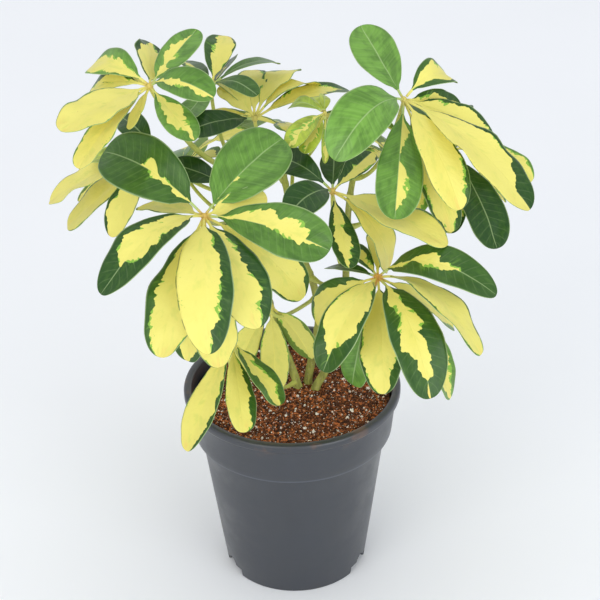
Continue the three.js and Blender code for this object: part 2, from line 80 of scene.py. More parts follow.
# Leaves. Each has its hub, the heading and pitch that it faces, the stem that it grows from with
# the share of that stem's height, and its leaflets. A leaflet has its clock, spread, length,
# breadth, bow and roll, and then its markings: how much of its half blade is green on the side
# before it and on the side after it, going clockwise, how much greener its tip is, and the shade
# of that green, from 0 for dark to 1 for the yellow green of a young leaf. Below 0 the green is
# dark and the cream goes over to the olive of an underside. Angles are in degrees and lengths in
# mm. A bow is a share of the length.
LEAVES = {
    "leaf_front_left": ((-45, -50, 269), (-3, 45), ("stem_left", 0.76), [
        (305, 101, 72, 35, 0.15, 0, 0.87, 0.92, 0.3, 0.16),
        (40, 102, 65, 36, 0.08, 0, 1.3, 1.02, 0.2, 0.36),
        (110, 72, 77, 29, 0.09, 0, 0.6, 0.76, 0.3, 0.26),
        (154, 78, 74, 31, 0.14, -20, 0.38, 0, 0, 0.05),
        (175, 71, 87, 30, 0.18, 0, 0.42, 0, 0.1, 0.05),
        (193, 76, 87, 31, 0.12, 20, 0.05, 0.28, 0, 0.15),
        (224, 66, 78, 27, 0.22, 25, 0.34, 0.32, 1.0, 0.05),
        (291, 127, 53, 18, 0.05, 40, 0.1, 0.05, 0.1, 0.1),
        (174, 112, 83, 25, 0.12, -20, 0.05, 0.05, 0, 0.2),
        (188, 115, 81, 24, 0.12, 20, 0.15, 0.15, 0.3, 0.1),
        (125, 118, 73, 25, 0.14, 0, 0.3, 0.1, 0, 0.1),
        (70, 96, 36, 16, 0.05, 0, 0.05, 0.05, 0, 0.3),
    ]),
    "leaf_upper_left": ((-73, -10, 328), (-20, 55), ("stem_left", 0.98), [
        (8, 112, 54, 19, 0.02, 0, 0.55, 0.8, 0.2, 0.4),
        (101, 73, 46, 19, 0.17, 0, 0.8, 0.6, 0.2, 0.3),
        (130, 81, 50, 18, 0, -15, 0.5, 0.6, 0.3, 0.38),
        (287, 105, 47, 22, 0.18, 10, 0.15, 0.7, 0.1, 0.4),
        (269, 117, 50, 17, 0.15, 10, 0.05, 0.4, 0, 0.1),
        (207, 59, 65, 27, 0.04, 10, 0.05, 0.05, 0, 0.3),
        (193, 74, 68, 20, 0.09, 20, 0.05, 0.08, 0, 0.3),
        (183, 81, 30, 8, 0, 20, 0, 0, 0, 0.3),
        (336, 117, 48, 22, 0, 50, 0.2, 0.1, 0.5, 0),
        (281, 122, 46, 15, 0.13, 30, 0, 0.05, 0, 0.4),
    ]),
    "leaf_back_left_high": ((-42, 45, 301), (20, 70), ("stem_left", 0.91), [
        (28, 90, 44, 18, 0.1, 0, 0.45, 0.08, 0.1, 0.1),
        (42, 100, 36, 12, 0.02, -50, 0.9, 0.9, 0, 0),
        (77, 93, 46, 14, 0.16, -25, 1.3, 1.3, 0, 0.2),
        (146, 67, 34, 14, 0.18, 0, 1.3, 1.3, 0, 0.15),
        (352, 110, 42, 15, 0.06, 15, 0.4, 0.9, 0, 0.1),
        (226, 84, 39, 17, 0, 20, 1.3, 1.3, 0, 0.3),
    ]),
    "leaf_back_middle_high": ((-18, 40, 282), (0, 65), ("stem_middle", 0.94), [
        (322, 86, 31, 16, 0.1, 0, 0, 0, 0, 0.3),
        (334, 102, 44, 20, 0.13, 20, 0.05, 0.12, 0.1, 0.1),
        (358, 99, 43, 18, 0.14, 0, 0.05, 0.1, 0.1, 0.1),
        (27, 104, 52, 19, 0.2, -20, 0.12, 0.05, 0.8, 0.3),
        (49, 105, 52, 16, 0.22, -30, 0.05, 0.1, 0, 0.3),
        (238, 66, 50, 20, 0.06, 0, 1.3, 1.3, 0, 0),
        (291, 103, 31, 8, 0.1, 30, 0.1, 0.2, 0, 0.3),
        (62, 100, 63, 17, 0.1, -20, 0.1, 0.1, 0.9, 0.1),
    ]),
    "leaf_young_shoot": ((22, 15, 297), (-20, 50), ("stem_middle", 0.97), [
        (203, 69, 32, 13, 0.1, 0, 0.5, 0.55, 0.1, 0.9),
        (189, 79, 28, 12, 0, 0, 0.6, 0.45, 0.1, 0.9),
        (280, 106, 26, 10, 0.2, 20, 1.3, 1.3, 0, 0.8),
        (312, 111, 18, 8, 0.12, 30, 1.3, 1.3, 0, 1),
        (340, 114, 16, 7, 0.1, 40, 1.3, 1.3, 0, 1),
        (166, 92, 30, 6, 0, -50, 0.6, 0.6, 0, 0.9),
    ]),
    "leaf_upper_right": ((65, -5, 314), (5, 48), ("stem_right", 0.98), [
        (342, 107, 59, 25, 0, 0, 1.3, 1.3, 0, 0.44),
        (228, 74, 60, 30, 0.26, 0, 1.3, 1.3, 0, 0.52),
        (190, 86, 71, 26, 0.02, 0, 0.68, 1.1, 0.2, 0.36),
        (161, 84, 72, 23, 0.12, -10, 0.12, 0, 0.2, 0.1),
        (163, 104, 77, 25, 0.04, -25, 0.35, 0.25, 0.1, 0.1),
        (140, 83, 94, 30, 0.12, -30, 0.1, 0, 1.0, 0),
        (110, 112, 58, 20, 0.08, -15, 0.2, 0.03, 0.2, 0.05),
        (62, 114, 36, 20, 0.34, -10, 0.5, 0.4, 0.1, 0.15),
        (88, 118, 40, 14, 0.04, 0, 0.5, 0.1, 0, 0.1),
    ]),
    "leaf_right": ((93, 25, 267), (30, 55), ("stem_right", 0.78), [
        (185, 86, 68, 26, 0.09, 0, 1.3, 1.3, 0, 0),
        (152, 64, 54, 19, 0.16, 0, 0.15, 0.05, 0, 0.3),
        (206, 96, 52, 20, 0.06, 0, 0.2, 0.3, 0.2, 0.1),
        (235, 110, 48, 17, 0.08, 0, 0.4, 0.4, 0, 0.5),
        (49, 97, 38, 10, 0.2, -30, 1.3, 1.3, 0, 0),
        (80, 106, 40, 16, 0.06, -20, 0.5, 0.5, 0, 0.1),
        (0, 106, 44, 17, 0.1, 0, 1.3, 1.3, 0, 0.1),
    ]),
    "leaf_middle": ((25, -20, 266), (0, 60), ("stem_right", 0.67), [
        (310, 104, 48, 20, 0.16, 0, 1.3, 1.3, 0, 0.05),
        (4, 112, 42, 16, 0.04, -20, 1.3, 1.3, 0, 0),
        (37, 104, 40, 15, 0.04, -10, 0.9, 0.1, 0, 0.05),
        (127, 78, 77, 27, 0.06, -25, 0.08, 0.04, 0, 0.2),
        (171, 84, 52, 17, 0, -20, 0.62, 0.5, 0.2, 0.05),
        (140, 118, 54, 23, 0.26, -30, 0.05, 0.1, 0, 0.2),
        (226, 66, 38, 22, 0.18, 0, 1.3, 1.3, 0, 0),
    ]),
    "leaf_front_right": ((49, -50, 228), (8, 48), ("stem_middle", 0.62), [
        (115, 60, 72, 24, 0.27, -15, 0.7, 0.66, 0.5, 0.12),
        (141, 68, 78, 23, 0.25, -40, 0.06, 0.1, 0.05, 0.1),
        (167, 79, 78, 30, 0.22, -10, 0.62, 0.6, 0.3, 0.1),
        (187, 77, 72, 25, 0.08, 30, 0.3, 0.08, 0.15, 0.1),
        (216, 76, 69, 25, 0.22, 25, 0.3, 0.08, 0.9, 0.1),
        (249, 134, 49, 20, 0.2, 10, 0.1, 0.5, 0, 0.15),
        (198, 132, 68, 20, 0.16, 30, 1.3, 1.3, 0, 0.34),
        (152, 108, 79, 20, 0.16, -30, 0.4, 0.2, 0.1, 0.3),
        (118, 122, 60, 18, 0.06, -40, 0.05, 0.1, 0.5, 0.2),
        (8, 124, 36, 14, 0.1, 30, 0.1, 0.3, 0, 0.3),
        (298, 122, 34, 11, 0.1, 45, 1.3, 1.3, 0, 0.1),
        (335, 116, 32, 13, 0.05, 20, 0.7, 0.5, 0, 0.1),
    ]),
    "leaf_low_middle": ((-11, -20, 192), (180, 20), ("stem_middle", 0.535), [
        (182, 118, 55, 17, 0.06, 0, 0.06, 0.06, 0, -0.4),
        (153, 113, 50, 17, 0.08, 0, 0.08, 0.06, 0, -0.4),
        (216, 110, 42, 17, 0.06, 0, 0.45, 0.15, 0.1, -0.5),
    ]),
    "leaf_low_left": ((-33, -48, 187), (-15, 60), ("stem_left", 0.17), [
        (189, 94, 69, 21, 0.04, 20, 0.26, 0.02, 0.1, 0.1),
        (161, 96, 55, 18, 0.02, -30, 0.3, 0.02, 0, 0.1),
        (134, 90, 50, 19, 0.06, -40, 0.45, 0.35, 0.2, 0.2),
    ]),
    "leaf_left": ((-74, 8, 280), (-40, 60), ("stem_left", 0.82), [
        (227, 100, 72, 27, 0.04, 20, 0.02, 0.02, 0, 0.3),
        (217, 111, 72, 26, 0.02, 15, 0.06, 0.06, 0, -0.35),
        (184, 108, 55, 20, 0.05, 0, 0.05, 0.3, 0, 0),
        (241, 91, 41, 18, 0.04, 20, 1.3, 1.3, 0, 0.9),
        (288, 85, 34, 16, 0.1, 0, 1.3, 1.3, 0, 0),
    ]),
    "leaf_inner": ((-34, -5, 264), (-10, 70), ("stem_left", 0.88), [
        (284, 82, 35, 19, 0.04, 0, 1.3, 1.3, 0, 0),
        (60, 92, 26, 12, 0.04, 0, 1.3, 0.8, 0, 0.1),
        (130, 92, 34, 14, 0.06, 0, 0.9, 0.9, 0, 0.1),
    ]),
    "leaf_back_left": ((-62, 52, 244), (-140, 50), ("stem_left", 0.66), [
        (2, 98, 42, 19, 0.1, 0, 0.3, 0.3, 0.1, 0.2),
        (48, 96, 44, 19, 0.1, 0, 1.3, 1.3, 0, 0.2),
        (95, 86, 62, 24, 0.16, 0, 0.25, 0.15, 0.1, 0.1),
        (138, 80, 68, 25, 0.14, 0, 0.1, 0.3, 0.1, 0.1),
        (180, 80, 72, 26, 0.1, 0, 0.4, 0.35, 0.2, 0.05),
        (222, 82, 68, 25, 0.14, 0, 0.95, 0.9, 0.2, 0.3),
        (266, 90, 60, 23, 0.16, 0, 0.1, 0.12, 0.1, 0.1),
    ]),
    "leaf_back_middle": ((4, 62, 262), (178, 48), ("stem_middle", 0.86), [
        (5, 104, 38, 17, 0.1, 0, 0.4, 0.4, 0, 0.2),
        (98, 84, 58, 24, 0.12, 0, 0.3, 0.35, 0.1, 0.1),
        (142, 82, 70, 26, 0.14, 0, 0.95, 0.85, 0.4, 0.3),
        (184, 80, 76, 26, 0.1, 0, 0.15, 0.3, 0.1, 0.1),
        (223, 82, 66, 25, 0.14, 0, 0.45, 0.1, 0.2, 0.1),
        (270, 90, 60, 23, 0.16, 0, 0.3, 0.3, 0.2, 0.05),
        (316, 104, 44, 19, 0.1, 0, 0.6, 0.5, 0, 0.2),
    ]),
    "leaf_back_right": ((68, 50, 242), (138, 50), ("stem_right", 0.84), [
        (0, 98, 42, 19, 0.1, 0, 0.3, 0.2, 0, 0.2),
        (46, 96, 50, 21, 0.12, 0, 0.9, 0.8, 0.2, 0.2),
        (92, 88, 60, 24, 0.16, 0, 0.2, 0.35, 0.1, 0.1),
        (136, 82, 68, 25, 0.14, 0, 0.4, 0.1, 0.1, 0.1),
        (178, 80, 72, 26, 0.1, 0, 1.3, 0.95, 0, 0.35),
        (220, 82, 68, 24, 0.14, 0, 0.12, 0.15, 0.3, 0.1),
        (264, 90, 58, 22, 0.16, 0, 0.35, 0.4, 0.1, 0.05),
    ]),
}


def radians(*angles):
    return [math.radians(angle) for angle in angles]


def lerp(start, end, share):
    return start + (end - start) * share


def smooth_step(start, end, value):
    share = min(1.0, max(0.0, (value - start) / (end - start)))
    return share * share * (3 - 2 * share)


def tint(color, factor):
    return (*[min(1.0, part * factor) for part in color[:3]], 1.0)


# Curves

def centre_line(points, share):
    """The point at a share of a centripetal Catmull-Rom curve through the points."""
    points = [Vector(point) for point in points]
    place = share * (len(points) - 1)
    first = min(int(place), len(points) - 2)
    place -= first
    before = points[first - 1] if first else 2 * points[0] - points[1]
    start, end = points[first], points[first + 1]
    after = points[first + 2] if first + 2 < len(points) else 2 * points[-1] - points[-2]
    gaps = [math.sqrt((b - a).length) for a, b in ((before, start), (start, end), (end, after))]

    def slope(a, b, c, gap_ab, gap_bc):
        return (b - a) / gap_ab - (c - a) / (gap_ab + gap_bc) + (c - b) / gap_bc

    leave = slope(before, start, end, gaps[0], gaps[1]) * gaps[1]
    arrive = slope(start, end, after, gaps[1], gaps[2]) * gaps[1]
    square, cube = place * place, place * place * place
    return (start * (2 * cube - 3 * square + 1) + end * (3 * square - 2 * cube)
            + leave * (cube - 2 * square + place) + arrive * (cube - square))


def bezier(corners, share):
    a, b, c, d = corners
    rest = 1 - share
    return (a * rest ** 3 + b * 3 * rest * rest * share + c * 3 * rest * share * share
            + d * share ** 3)


# Node trees

class Graph:
    """Adds nodes to a tree and links them."""

    def __init__(self, tree):
        self.tree = tree

    def add(self, kind, inputs=None, **settings):
        node = self.tree.nodes.new(kind)
        for name, value in settings.items():
            setattr(node, name, value)
        return self.give(node, inputs or {})

    def give(self, node, inputs):
        for key, value in inputs.items():
            self.feed(node.inputs[key], value)
        return node

    def feed(self, socket, value):
        if isinstance(value, bpy.types.NodeSocket):
            self.tree.links.new(value, socket)
        else:
            socket.default_value = value

    def feed_all(self, sockets, values):
        for socket, value in zip(sockets, values):
            self.feed(socket, value)

    def math(self, operation, *values):
        node = self.add("ShaderNodeMath", operation=operation)
        self.feed_all(node.inputs, values)
        return node.outputs[0]

    def times(self, *values):
        total = values[0]
        for value in values[1:]:
            total = self.math("MULTIPLY", total, value)
        return total

    def plus(self, *values):
        total = values[0]
        for value in values[1:]:
            total = self.math("ADD", total, value)
        return total

    def minus(self, first, second):
        return self.math("SUBTRACT", first, second)

    def ramp(self, value, low, high, start=0.0, end=1.0):
        """Smoothly from start to end while the value goes from low to high."""
        node = self.add("ShaderNodeMapRange", interpolation_type="SMOOTHSTEP")
        self.feed_all(node.inputs, (value, low, high, start, end))
        return node.outputs[0]

    def mix(self, share, first, second):
        node = self.add("ShaderNodeMix", data_type="RGBA")
        self.feed_all((node.inputs[0], node.inputs[6], node.inputs[7]), (share, first, second))
        return node.outputs[2]

    def vector(self, x, y, z):
        return self.add("ShaderNodeCombineXYZ", {0: x, 1: y, 2: z}).outputs[0]

    def parts(self, vector):
        return self.add("ShaderNodeSeparateXYZ", {0: vector}).outputs

    def noise(self, place, scale, detail=2.0, roughness=0.5):
        node = self.add("ShaderNodeTexNoise", {
            "Vector": place, "Scale": scale, "Detail": detail, "Roughness": roughness})
        return node.outputs["Fac"]

    def attribute(self, name, output="Fac"):
        return self.add("ShaderNodeAttribute", attribute_name=name).outputs[output]

    def place(self):
        """Where on the object the surface is, in metres."""
        return self.add("ShaderNodeTexCoord").outputs["Object"]

    def stretched(self, place, height):
        """The place with its height shrunk, so that a pattern on it runs up and down."""
        return self.add("ShaderNodeMapping", {"Vector": place,
                                              "Scale": (1.0, 1.0, height)}).outputs[0]

    def relief(self, shader, strength, distance, height):
        """Feed a bump of so many metres to the shader's normal."""
        node = self.add("ShaderNodeBump", {"Strength": strength, "Distance": distance,
                                           "Height": height})
        self.feed(shader.inputs["Normal"], node.outputs[0])
        return node


def new_group(name, kind, inputs, outputs):
    """A node group: its graph, its given sockets and the sockets of its result.

    Each input has its default number, or the kind of its socket where it has no default.
    """
    group = bpy.data.node_groups.new(name, kind)
    for label, value in inputs.items():
        bare = isinstance(value, str)
        socket = value if bare else {float: "Float", int: "Int"}[type(value)]
        made = group.interface.new_socket(name=label, in_out="INPUT",
                                          socket_type="NodeSocket" + socket)
        if not bare:
            made.default_value = value
    for label, socket in outputs.items():
        group.interface.new_socket(name=label, in_out="OUTPUT", socket_type="NodeSocket" + socket)
    graph = Graph(group)
    return graph, graph.add("NodeGroupInput").outputs, graph.add("NodeGroupOutput").inputs


def place_group(graph, name, inputs):
    """A shader node group placed in a material with its own values: its outputs."""
    node = graph.add("ShaderNodeGroup", node_tree=bpy.data.node_groups[name])
    return graph.give(node, inputs).outputs


def new_material(name):
    """A material with a Principled BSDF, its graph and its shader."""
    material = bpy.data.materials.new(name)
    material.use_nodes = True
    material.node_tree.nodes.clear()
    graph = Graph(material.node_tree)
    shader = graph.add("ShaderNodeBsdfPrincipled")
    graph.add("ShaderNodeOutputMaterial", {"Surface": shader.outputs[0]})
    return material, graph, shader


# Shader groups that several materials use

def make_speckle_group():
    """Soft patches and fine specks, as dust, pores and pale grit leave them."""
    graph, given, result = new_group("Speckle", "ShaderNodeTree", {
        "Place": "Vector", "Patch Scale": 60.0, "Speck Scale": 900.0, "Speck Share": 0.3,
    }, {"Patches": "Float", "Specks": "Float"})
    patches = graph.noise(given["Place"], given["Patch Scale"], 4.0, 0.6)
    specks = graph.noise(given["Place"], given["Speck Scale"])
    threshold = graph.minus(0.86, graph.times(given["Speck Share"], 0.5))
    graph.feed(result["Patches"], graph.ramp(patches, 0.3, 0.7))
    graph.feed(result["Specks"], graph.ramp(specks, threshold, graph.plus(threshold, 0.06)))


def speckle(graph, place, patch_scale, speck_scale, speck_share):
    """The Speckle group's patches and specks."""
    outputs = place_group(graph, "Speckle", {"Place": place, "Patch Scale": patch_scale,
                                             "Speck Scale": speck_scale,
                                             "Speck Share": speck_share})
    return outputs["Patches"], outputs["Specks"]


ORANGE_TIP = (0.78, 0.42, 0.12, 1.0)
OLIVE_CREAM = (0.42, 0.43, 0.12, 1.0)
RUSTY_SPOT = (0.24, 0.13, 0.04, 1.0)


def make_blade_group():
    """Cream and green markings whose borders fray along the side veins of a leaflet."""
    graph, given, result = new_group("Blade Markings", "ShaderNodeTree", {
        "Across": 0.0, "Along": 0.0, "Margins": "Vector", "Shade": 0.0, "Leaflet": "Vector",
        "Cream": "Color", "Straw": "Color", "Dark Green": "Color", "Fresh Green": "Color",
        "Young Green": "Color", "Lime": "Color", "Pale Rim": "Color", "Dark Rim": "Color",
        "Vein Pitch": 5.5,
    }, {"Color": "Color", "Green": "Float", "Height": "Float"})
    times, plus, minus, ramp, mix = graph.times, graph.plus, graph.minus, graph.ramp, graph.mix
    along, shade, lime, pitch = (given[name] for name in ("Along", "Shade", "Lime", "Vein Pitch"))
    side_before, side_after, greener_tip = graph.parts(given["Margins"])
    length, breadth, seed = graph.parts(given["Leaflet"])
    half = times(breadth, 0.5)
    off = graph.math("ABSOLUTE", given["Across"])
    after = graph.math("GREATER_THAN", given["Across"], 0.0)
    off_mm = times(off, half)
    # A side vein leaves the midrib and runs forward, so this is the same all along one vein.
    vein = minus(times(along, length), times(off_mm, 0.62))
    side_seed = plus(seed, times(after, 31.7))

    def streaks(fine, wide, shift, detail=2.0):
        """Noise round 0, so fine along the blade and across it, in waves per mm."""
        place = graph.vector(times(vein, fine), times(off_mm, wide), plus(side_seed, shift))
        return minus(graph.noise(place, 1.0, detail, 0.55), 0.5)

    # Where green starts, as a share of the half blade, wandering along the leaflet.
    margin = plus(side_before, times(after, minus(side_after, side_before)))
    wander = times(streaks(0.045, 0.0, 50.0), 3.4, margin, ramp(margin, 0.8, 1.1, 1.0, 0.0))
    closing = times(ramp(margin, 0.72, 0.85), ramp(along, 0.48, 0.66), 0.6)
    tip = times(greener_tip, ramp(along, 0.6, 0.95), ramp(margin, 0.01, 0.08))
    margin = plus(margin, wander, closing, tip)
    scanty = ramp(margin, 0.0, 0.3, 0.15, 1.0)
    ragged = ramp(streaks(0.08, 0.0, 6.0), -0.1, 0.14, 0.25, 1.3)
    jag = times(plus(times(streaks(0.15, 0.1, 0.0), 8.5),
                     times(streaks(0.5, 0.3, 4.0), 2.0, ragged)), scanty)
    reach = plus(off_mm, times(half, minus(margin, 1.0)), jag)
    green = ramp(reach, -0.08, 0.08)

    # Lime where the border frays, in flecks on the cream and in flames on the green.
    patch = ramp(streaks(0.07, 0.06, 11.0), 0.0, 0.1)
    fringe = plus(reach, times(patch, scanty, plus(times(streaks(0.45, 0.16, 9.0), 11.0), 1.7)))
    fringe = ramp(fringe, -0.12, 0.12)
    flecks = times(ramp(streaks(1.0, 0.8, 15.0), 0.15, 0.18), patch, ramp(reach, -4.5, -0.6))
    flames = times(ramp(streaks(0.5, 0.1, 33.0), 0.05, 0.13), patch, ramp(reach, 6.0, 0.5))

    cream = mix(ramp(streaks(0.05, 0.08, 20.0), -0.2, 0.25), given["Cream"], given["Straw"])
    tinge = times(ramp(streaks(0.12, 0.2, 95.0), 0.0, 0.2), ramp(off, 0.9, 0.2), 0.16)
    cream = mix(tinge, cream, lime)
    blush = times(ramp(along, 0.78, 1.0), ramp(streaks(0.1, 0.1, 60.0), 0.0, 0.2), 0.3)
    cream = mix(blush, cream, ORANGE_TIP)
    cream = mix(ramp(shade, 0.0, -1.0), cream, OLIVE_CREAM)
    spots = times(ramp(streaks(0.6, 0.7, 70.0), 0.25, 0.29), 0.7)
    cream = mix(spots, cream, RUSTY_SPOT)

    deep = mix(ramp(shade, 0.0, 0.5), given["Dark Green"], given["Fresh Green"])
    deep = mix(ramp(shade, 0.5, 1.0), deep, given["Young Green"])
    deep = mix(times(ramp(streaks(0.3, 0.3, 40.0), -0.1, 0.2), 0.08), deep, lime)
    deep = mix(times(flames, 0.35), deep, lime)
    shadow = times(ramp(streaks(0.09, 0.16, 80.0, 3.0), -0.12, 0.16), 0.42)
    deep = mix(shadow, deep, given["Dark Green"])
    between = times(ramp(streaks(0.55, 0.04, 85.0), -0.1, 0.15), 0.2)
    deep = mix(between, deep, given["Dark Green"])
    color = mix(green, mix(graph.math("MAXIMUM", fringe, flecks), cream, lime), deep)

    ripple = graph.math("FRACT", graph.math("DIVIDE", vein, pitch))
    from_vein = times(graph.math("ABSOLUTE", minus(ripple, 0.5)), pitch)
    side_veins = times(ramp(from_vein, 0.0, 0.6, 1.0, 0.0), ramp(off, 0.97, 0.6))
    midrib = ramp(off_mm, 0.12, 0.6, 1.0, 0.0)
    veins = graph.math("MAXIMUM", times(side_veins, 0.16), midrib)
    color = mix(green, mix(times(veins, 0.4), color, given["Straw"]),
                mix(times(veins, 0.45), color, given["Pale Rim"]))
    rim = ramp(off, 0.945, 0.985)
    broken = ramp(streaks(0.12, 0.0, 26.0), -0.08, 0.06)
    # Round a green edge the rim is pale: partly the leaflet's own pale margin, partly a painted
    # highlight where light catches the edge.
    color = mix(times(rim, green, 0.65), color, given["Pale Rim"])
    color = mix(times(rim, broken, minus(1.0, green), 0.8), color, given["Dark Rim"])

    skin = graph.noise(graph.vector(vein, off_mm, seed), 1.6, 3.0)
    swell = graph.noise(graph.vector(vein, off_mm, seed), 0.3)
    graph.feed(result["Color"], color)
    graph.feed(result["Green"], green)
    graph.feed(result["Height"], plus(times(swell, 3.0), times(skin, 0.25), times(veins, 0.75)))


# Materials

OLIVE_UNDERSIDE = (0.36, 0.4, 0.08, 1.0)
STALK_FLECK = (0.2, 0.12, 0.05, 1.0)
BARK_PORE = (0.45, 0.36, 0.22, 1.0)
SOIL_DUST = (0.16, 0.075, 0.035, 1.0)


def blade_material(name, plant, upper):
    """A leaflet's skin: glossy above, duller and more olive beneath, with its ribs raised.
    Beneath, its colours are lifted as painted light shining through the leaflet.
    """
    material, graph, shader = new_material(name)
    # Painted light: the underside's creams, yellow greens, lime and rim are made lighter,
    # standing in for light that shines through the leaflet.
    lift = 1.0 if upper else 1.2
    markings = place_group(graph, "Blade Markings", {
        "Across": graph.attribute("across"), "Along": graph.attribute("along"),
        "Margins": graph.attribute("margins", "Vector"), "Shade": graph.attribute("shade"),
        "Leaflet": graph.attribute("leaflet", "Vector"),
        "Cream": tint(plant.cream, lift), "Straw": tint(plant.straw, lift),
        "Dark Green": tint(plant.dark_green, 1.0 if upper else 2.4),
        "Fresh Green": plant.fresh_green, "Young Green": tint(plant.young_green, lift),
        "Lime": tint(plant.lime, lift), "Pale Rim": tint(plant.pale_rim, lift),
        "Dark Rim": plant.dark_rim,
    })
    green, color = markings["Green"], markings["Color"]
    if not upper:
        color = graph.mix(graph.times(green, 0.3), color, OLIVE_UNDERSIDE)
    low, high = (0.3, 0.44) if upper else (0.5, 0.66)
    sheen = graph.ramp(graph.noise(graph.place(), 45.0, 3.0), 0.3, 0.7, low, high)
    duller_cream = graph.times(graph.minus(1.0, green), 0.12)
    graph.give(shader, {
        "Base Color": color, "Roughness": graph.plus(sheen, duller_cream),
        "Specular IOR Level": 0.3, "Coat Weight": 0.1 if upper else 0.0, "Coat Roughness": 0.2})
    bump = graph.relief(shader, 0.3 if upper else 0.8, 0.00025, markings["Height"])
    bump.invert = upper
    return material


def stalk_material(plant):
    """Petioles, stalks and hubs: olive green, then cream or green to suit the leaflet."""
    material, graph, shader = new_material("stalk_skin")
    mix, ramp, hub = graph.mix, graph.ramp, graph.attribute("hub")
    patches, specks = speckle(graph, graph.place(), 90.0, 1500.0, 0.2)
    before, after, _ = graph.parts(graph.attribute("margins", "Vector"))
    stalk = mix(ramp(graph.plus(before, after), 0.7, 1.6), plant.straw, plant.stalk)
    knob = mix(graph.attribute("warmth"), tint(plant.straw, 0.8), plant.hub)
    color = mix(patches, tint(plant.petiole, 0.75), tint(plant.petiole, 1.1))
    color = mix(ramp(hub, 0.3, 0.5), color, stalk)
    color = mix(ramp(hub, 0.72, 1.0, 0.0, 0.85), color, knob)
    color = mix(graph.times(specks, 0.3), color, STALK_FLECK)
    graph.give(shader, {"Base Color": color, "Roughness": ramp(patches, 0, 1, 0.4, 0.55)})
    graph.relief(shader, 0.3, 0.0002, patches)
    return material


def bark_material(plant):
    """Stems: olive and cracked below, greener towards the top, with pale pores."""
    material, graph, shader = new_material("stem_bark")
    mix, ramp, place = graph.mix, graph.ramp, graph.place()
    cracks = graph.noise(graph.stretched(place, 0.18), 420.0, 4.0, 0.65)
    patches, specks = speckle(graph, place, 70.0, 900.0, 0.5)
    youth = ramp(graph.attribute("along"), 0.25, 0.95)
    color = mix(youth, plant.bark, tint(plant.petiole, 0.75))
    color = mix(ramp(cracks, 0.35, 0.65), tint(plant.bark, 0.45), color)
    color = mix(graph.times(patches, 0.3), color, tint(plant.bark, 1.5))
    color = mix(graph.times(specks, 0.6), color, BARK_PORE)
    graph.give(shader, {"Base Color": color, "Roughness": ramp(cracks, 0.3, 0.7, 0.62, 0.85)})
    graph.relief(shader, 0.6, 0.0004, cracks)
    return material


def pot_material(pot):
    """Moulded plastic with a fine grain, soft scuffs, a little soil dust and a painted highlight
    along the crease under the collar.
    """
    material, graph, shader = new_material("pot_plastic")
    times, mix, ramp, place = graph.times, graph.mix, graph.ramp, graph.place()
    patches, specks = speckle(graph, place, 38.0, 260.0, 0.16)
    flow_lines = graph.noise(graph.stretched(place, 0.12), 110.0, 3.0)
    grain = times(graph.noise(place, 1400.0), 0.3)
    height = graph.parts(place)[2]
    from_step = graph.math("ABSOLUTE", graph.minus(height, pot.step_height))
    # Painted highlight: a narrow band round the step, where light catches the crease.
    painted_crease_highlight = ramp(from_step, 0.0003, 0.0013, 1.0, 0.0)
    splash = times(ramp(height, 0.112, 0.124), ramp(graph.noise(place, 55.0, 4.0), 0.56, 0.68))
    color = mix(patches, tint(pot.color, 0.93), tint(pot.color, 1.07))
    color = mix(ramp(flow_lines, 0.35, 0.7, 0.0, 0.25), color, tint(pot.color, 1.25))
    # The painted highlight: the crease line is made much lighter than the plastic.
    color = mix(times(painted_crease_highlight, 0.8), color, tint(pot.color, 2.6))
    color = mix(times(splash, 0.5), color, SOIL_DUST)
    color = mix(times(specks, 0.35), color, tint(pot.color, 3.2))
    wear = graph.plus(times(patches, 0.7), grain)
    graph.give(shader, {
        "Base Color": color, "Roughness": ramp(wear, 0.2, 0.8, 0.36, 0.5),
        "Specular IOR Level": 0.6, "Coat Weight": 0.35, "Coat Roughness": 0.32})
    graph.relief(shader, 0.25, 0.0002, graph.plus(grain, flow_lines))
    return material


def crumb_material(name, color, second, spread, roughness, depth=0.6):
    """Soil crumbs, fibres and grains, each a little different in colour."""
    material, graph, shader = new_material(name)
    place = graph.place()
    patches, _ = speckle(graph, place, spread, 2200.0, 0.4)
    grains = graph.noise(place, spread * 8, 1.0)
    shade = graph.mix(graph.ramp(grains, 0.42, 0.58), color, second)
    shade = graph.mix(graph.times(patches, depth), shade, tint(color, 0.35))
    graph.give(shader, {"Base Color": shade, "Roughness": roughness})
    graph.relief(shader, 0.5, 0.0003, grains)
    return material


# Geometry node trees

def finish_tree(graph, result, mesh, skin):
    """End a tree in real geometry of one material."""
    solid = graph.add("GeometryNodeRealizeInstances", {"Geometry": mesh})
    dressed = graph.add("GeometryNodeSetMaterial", {"Geometry": solid.outputs[0],
                                                    "Material": skin})
    graph.feed(result["Mesh"], dressed.outputs[0])


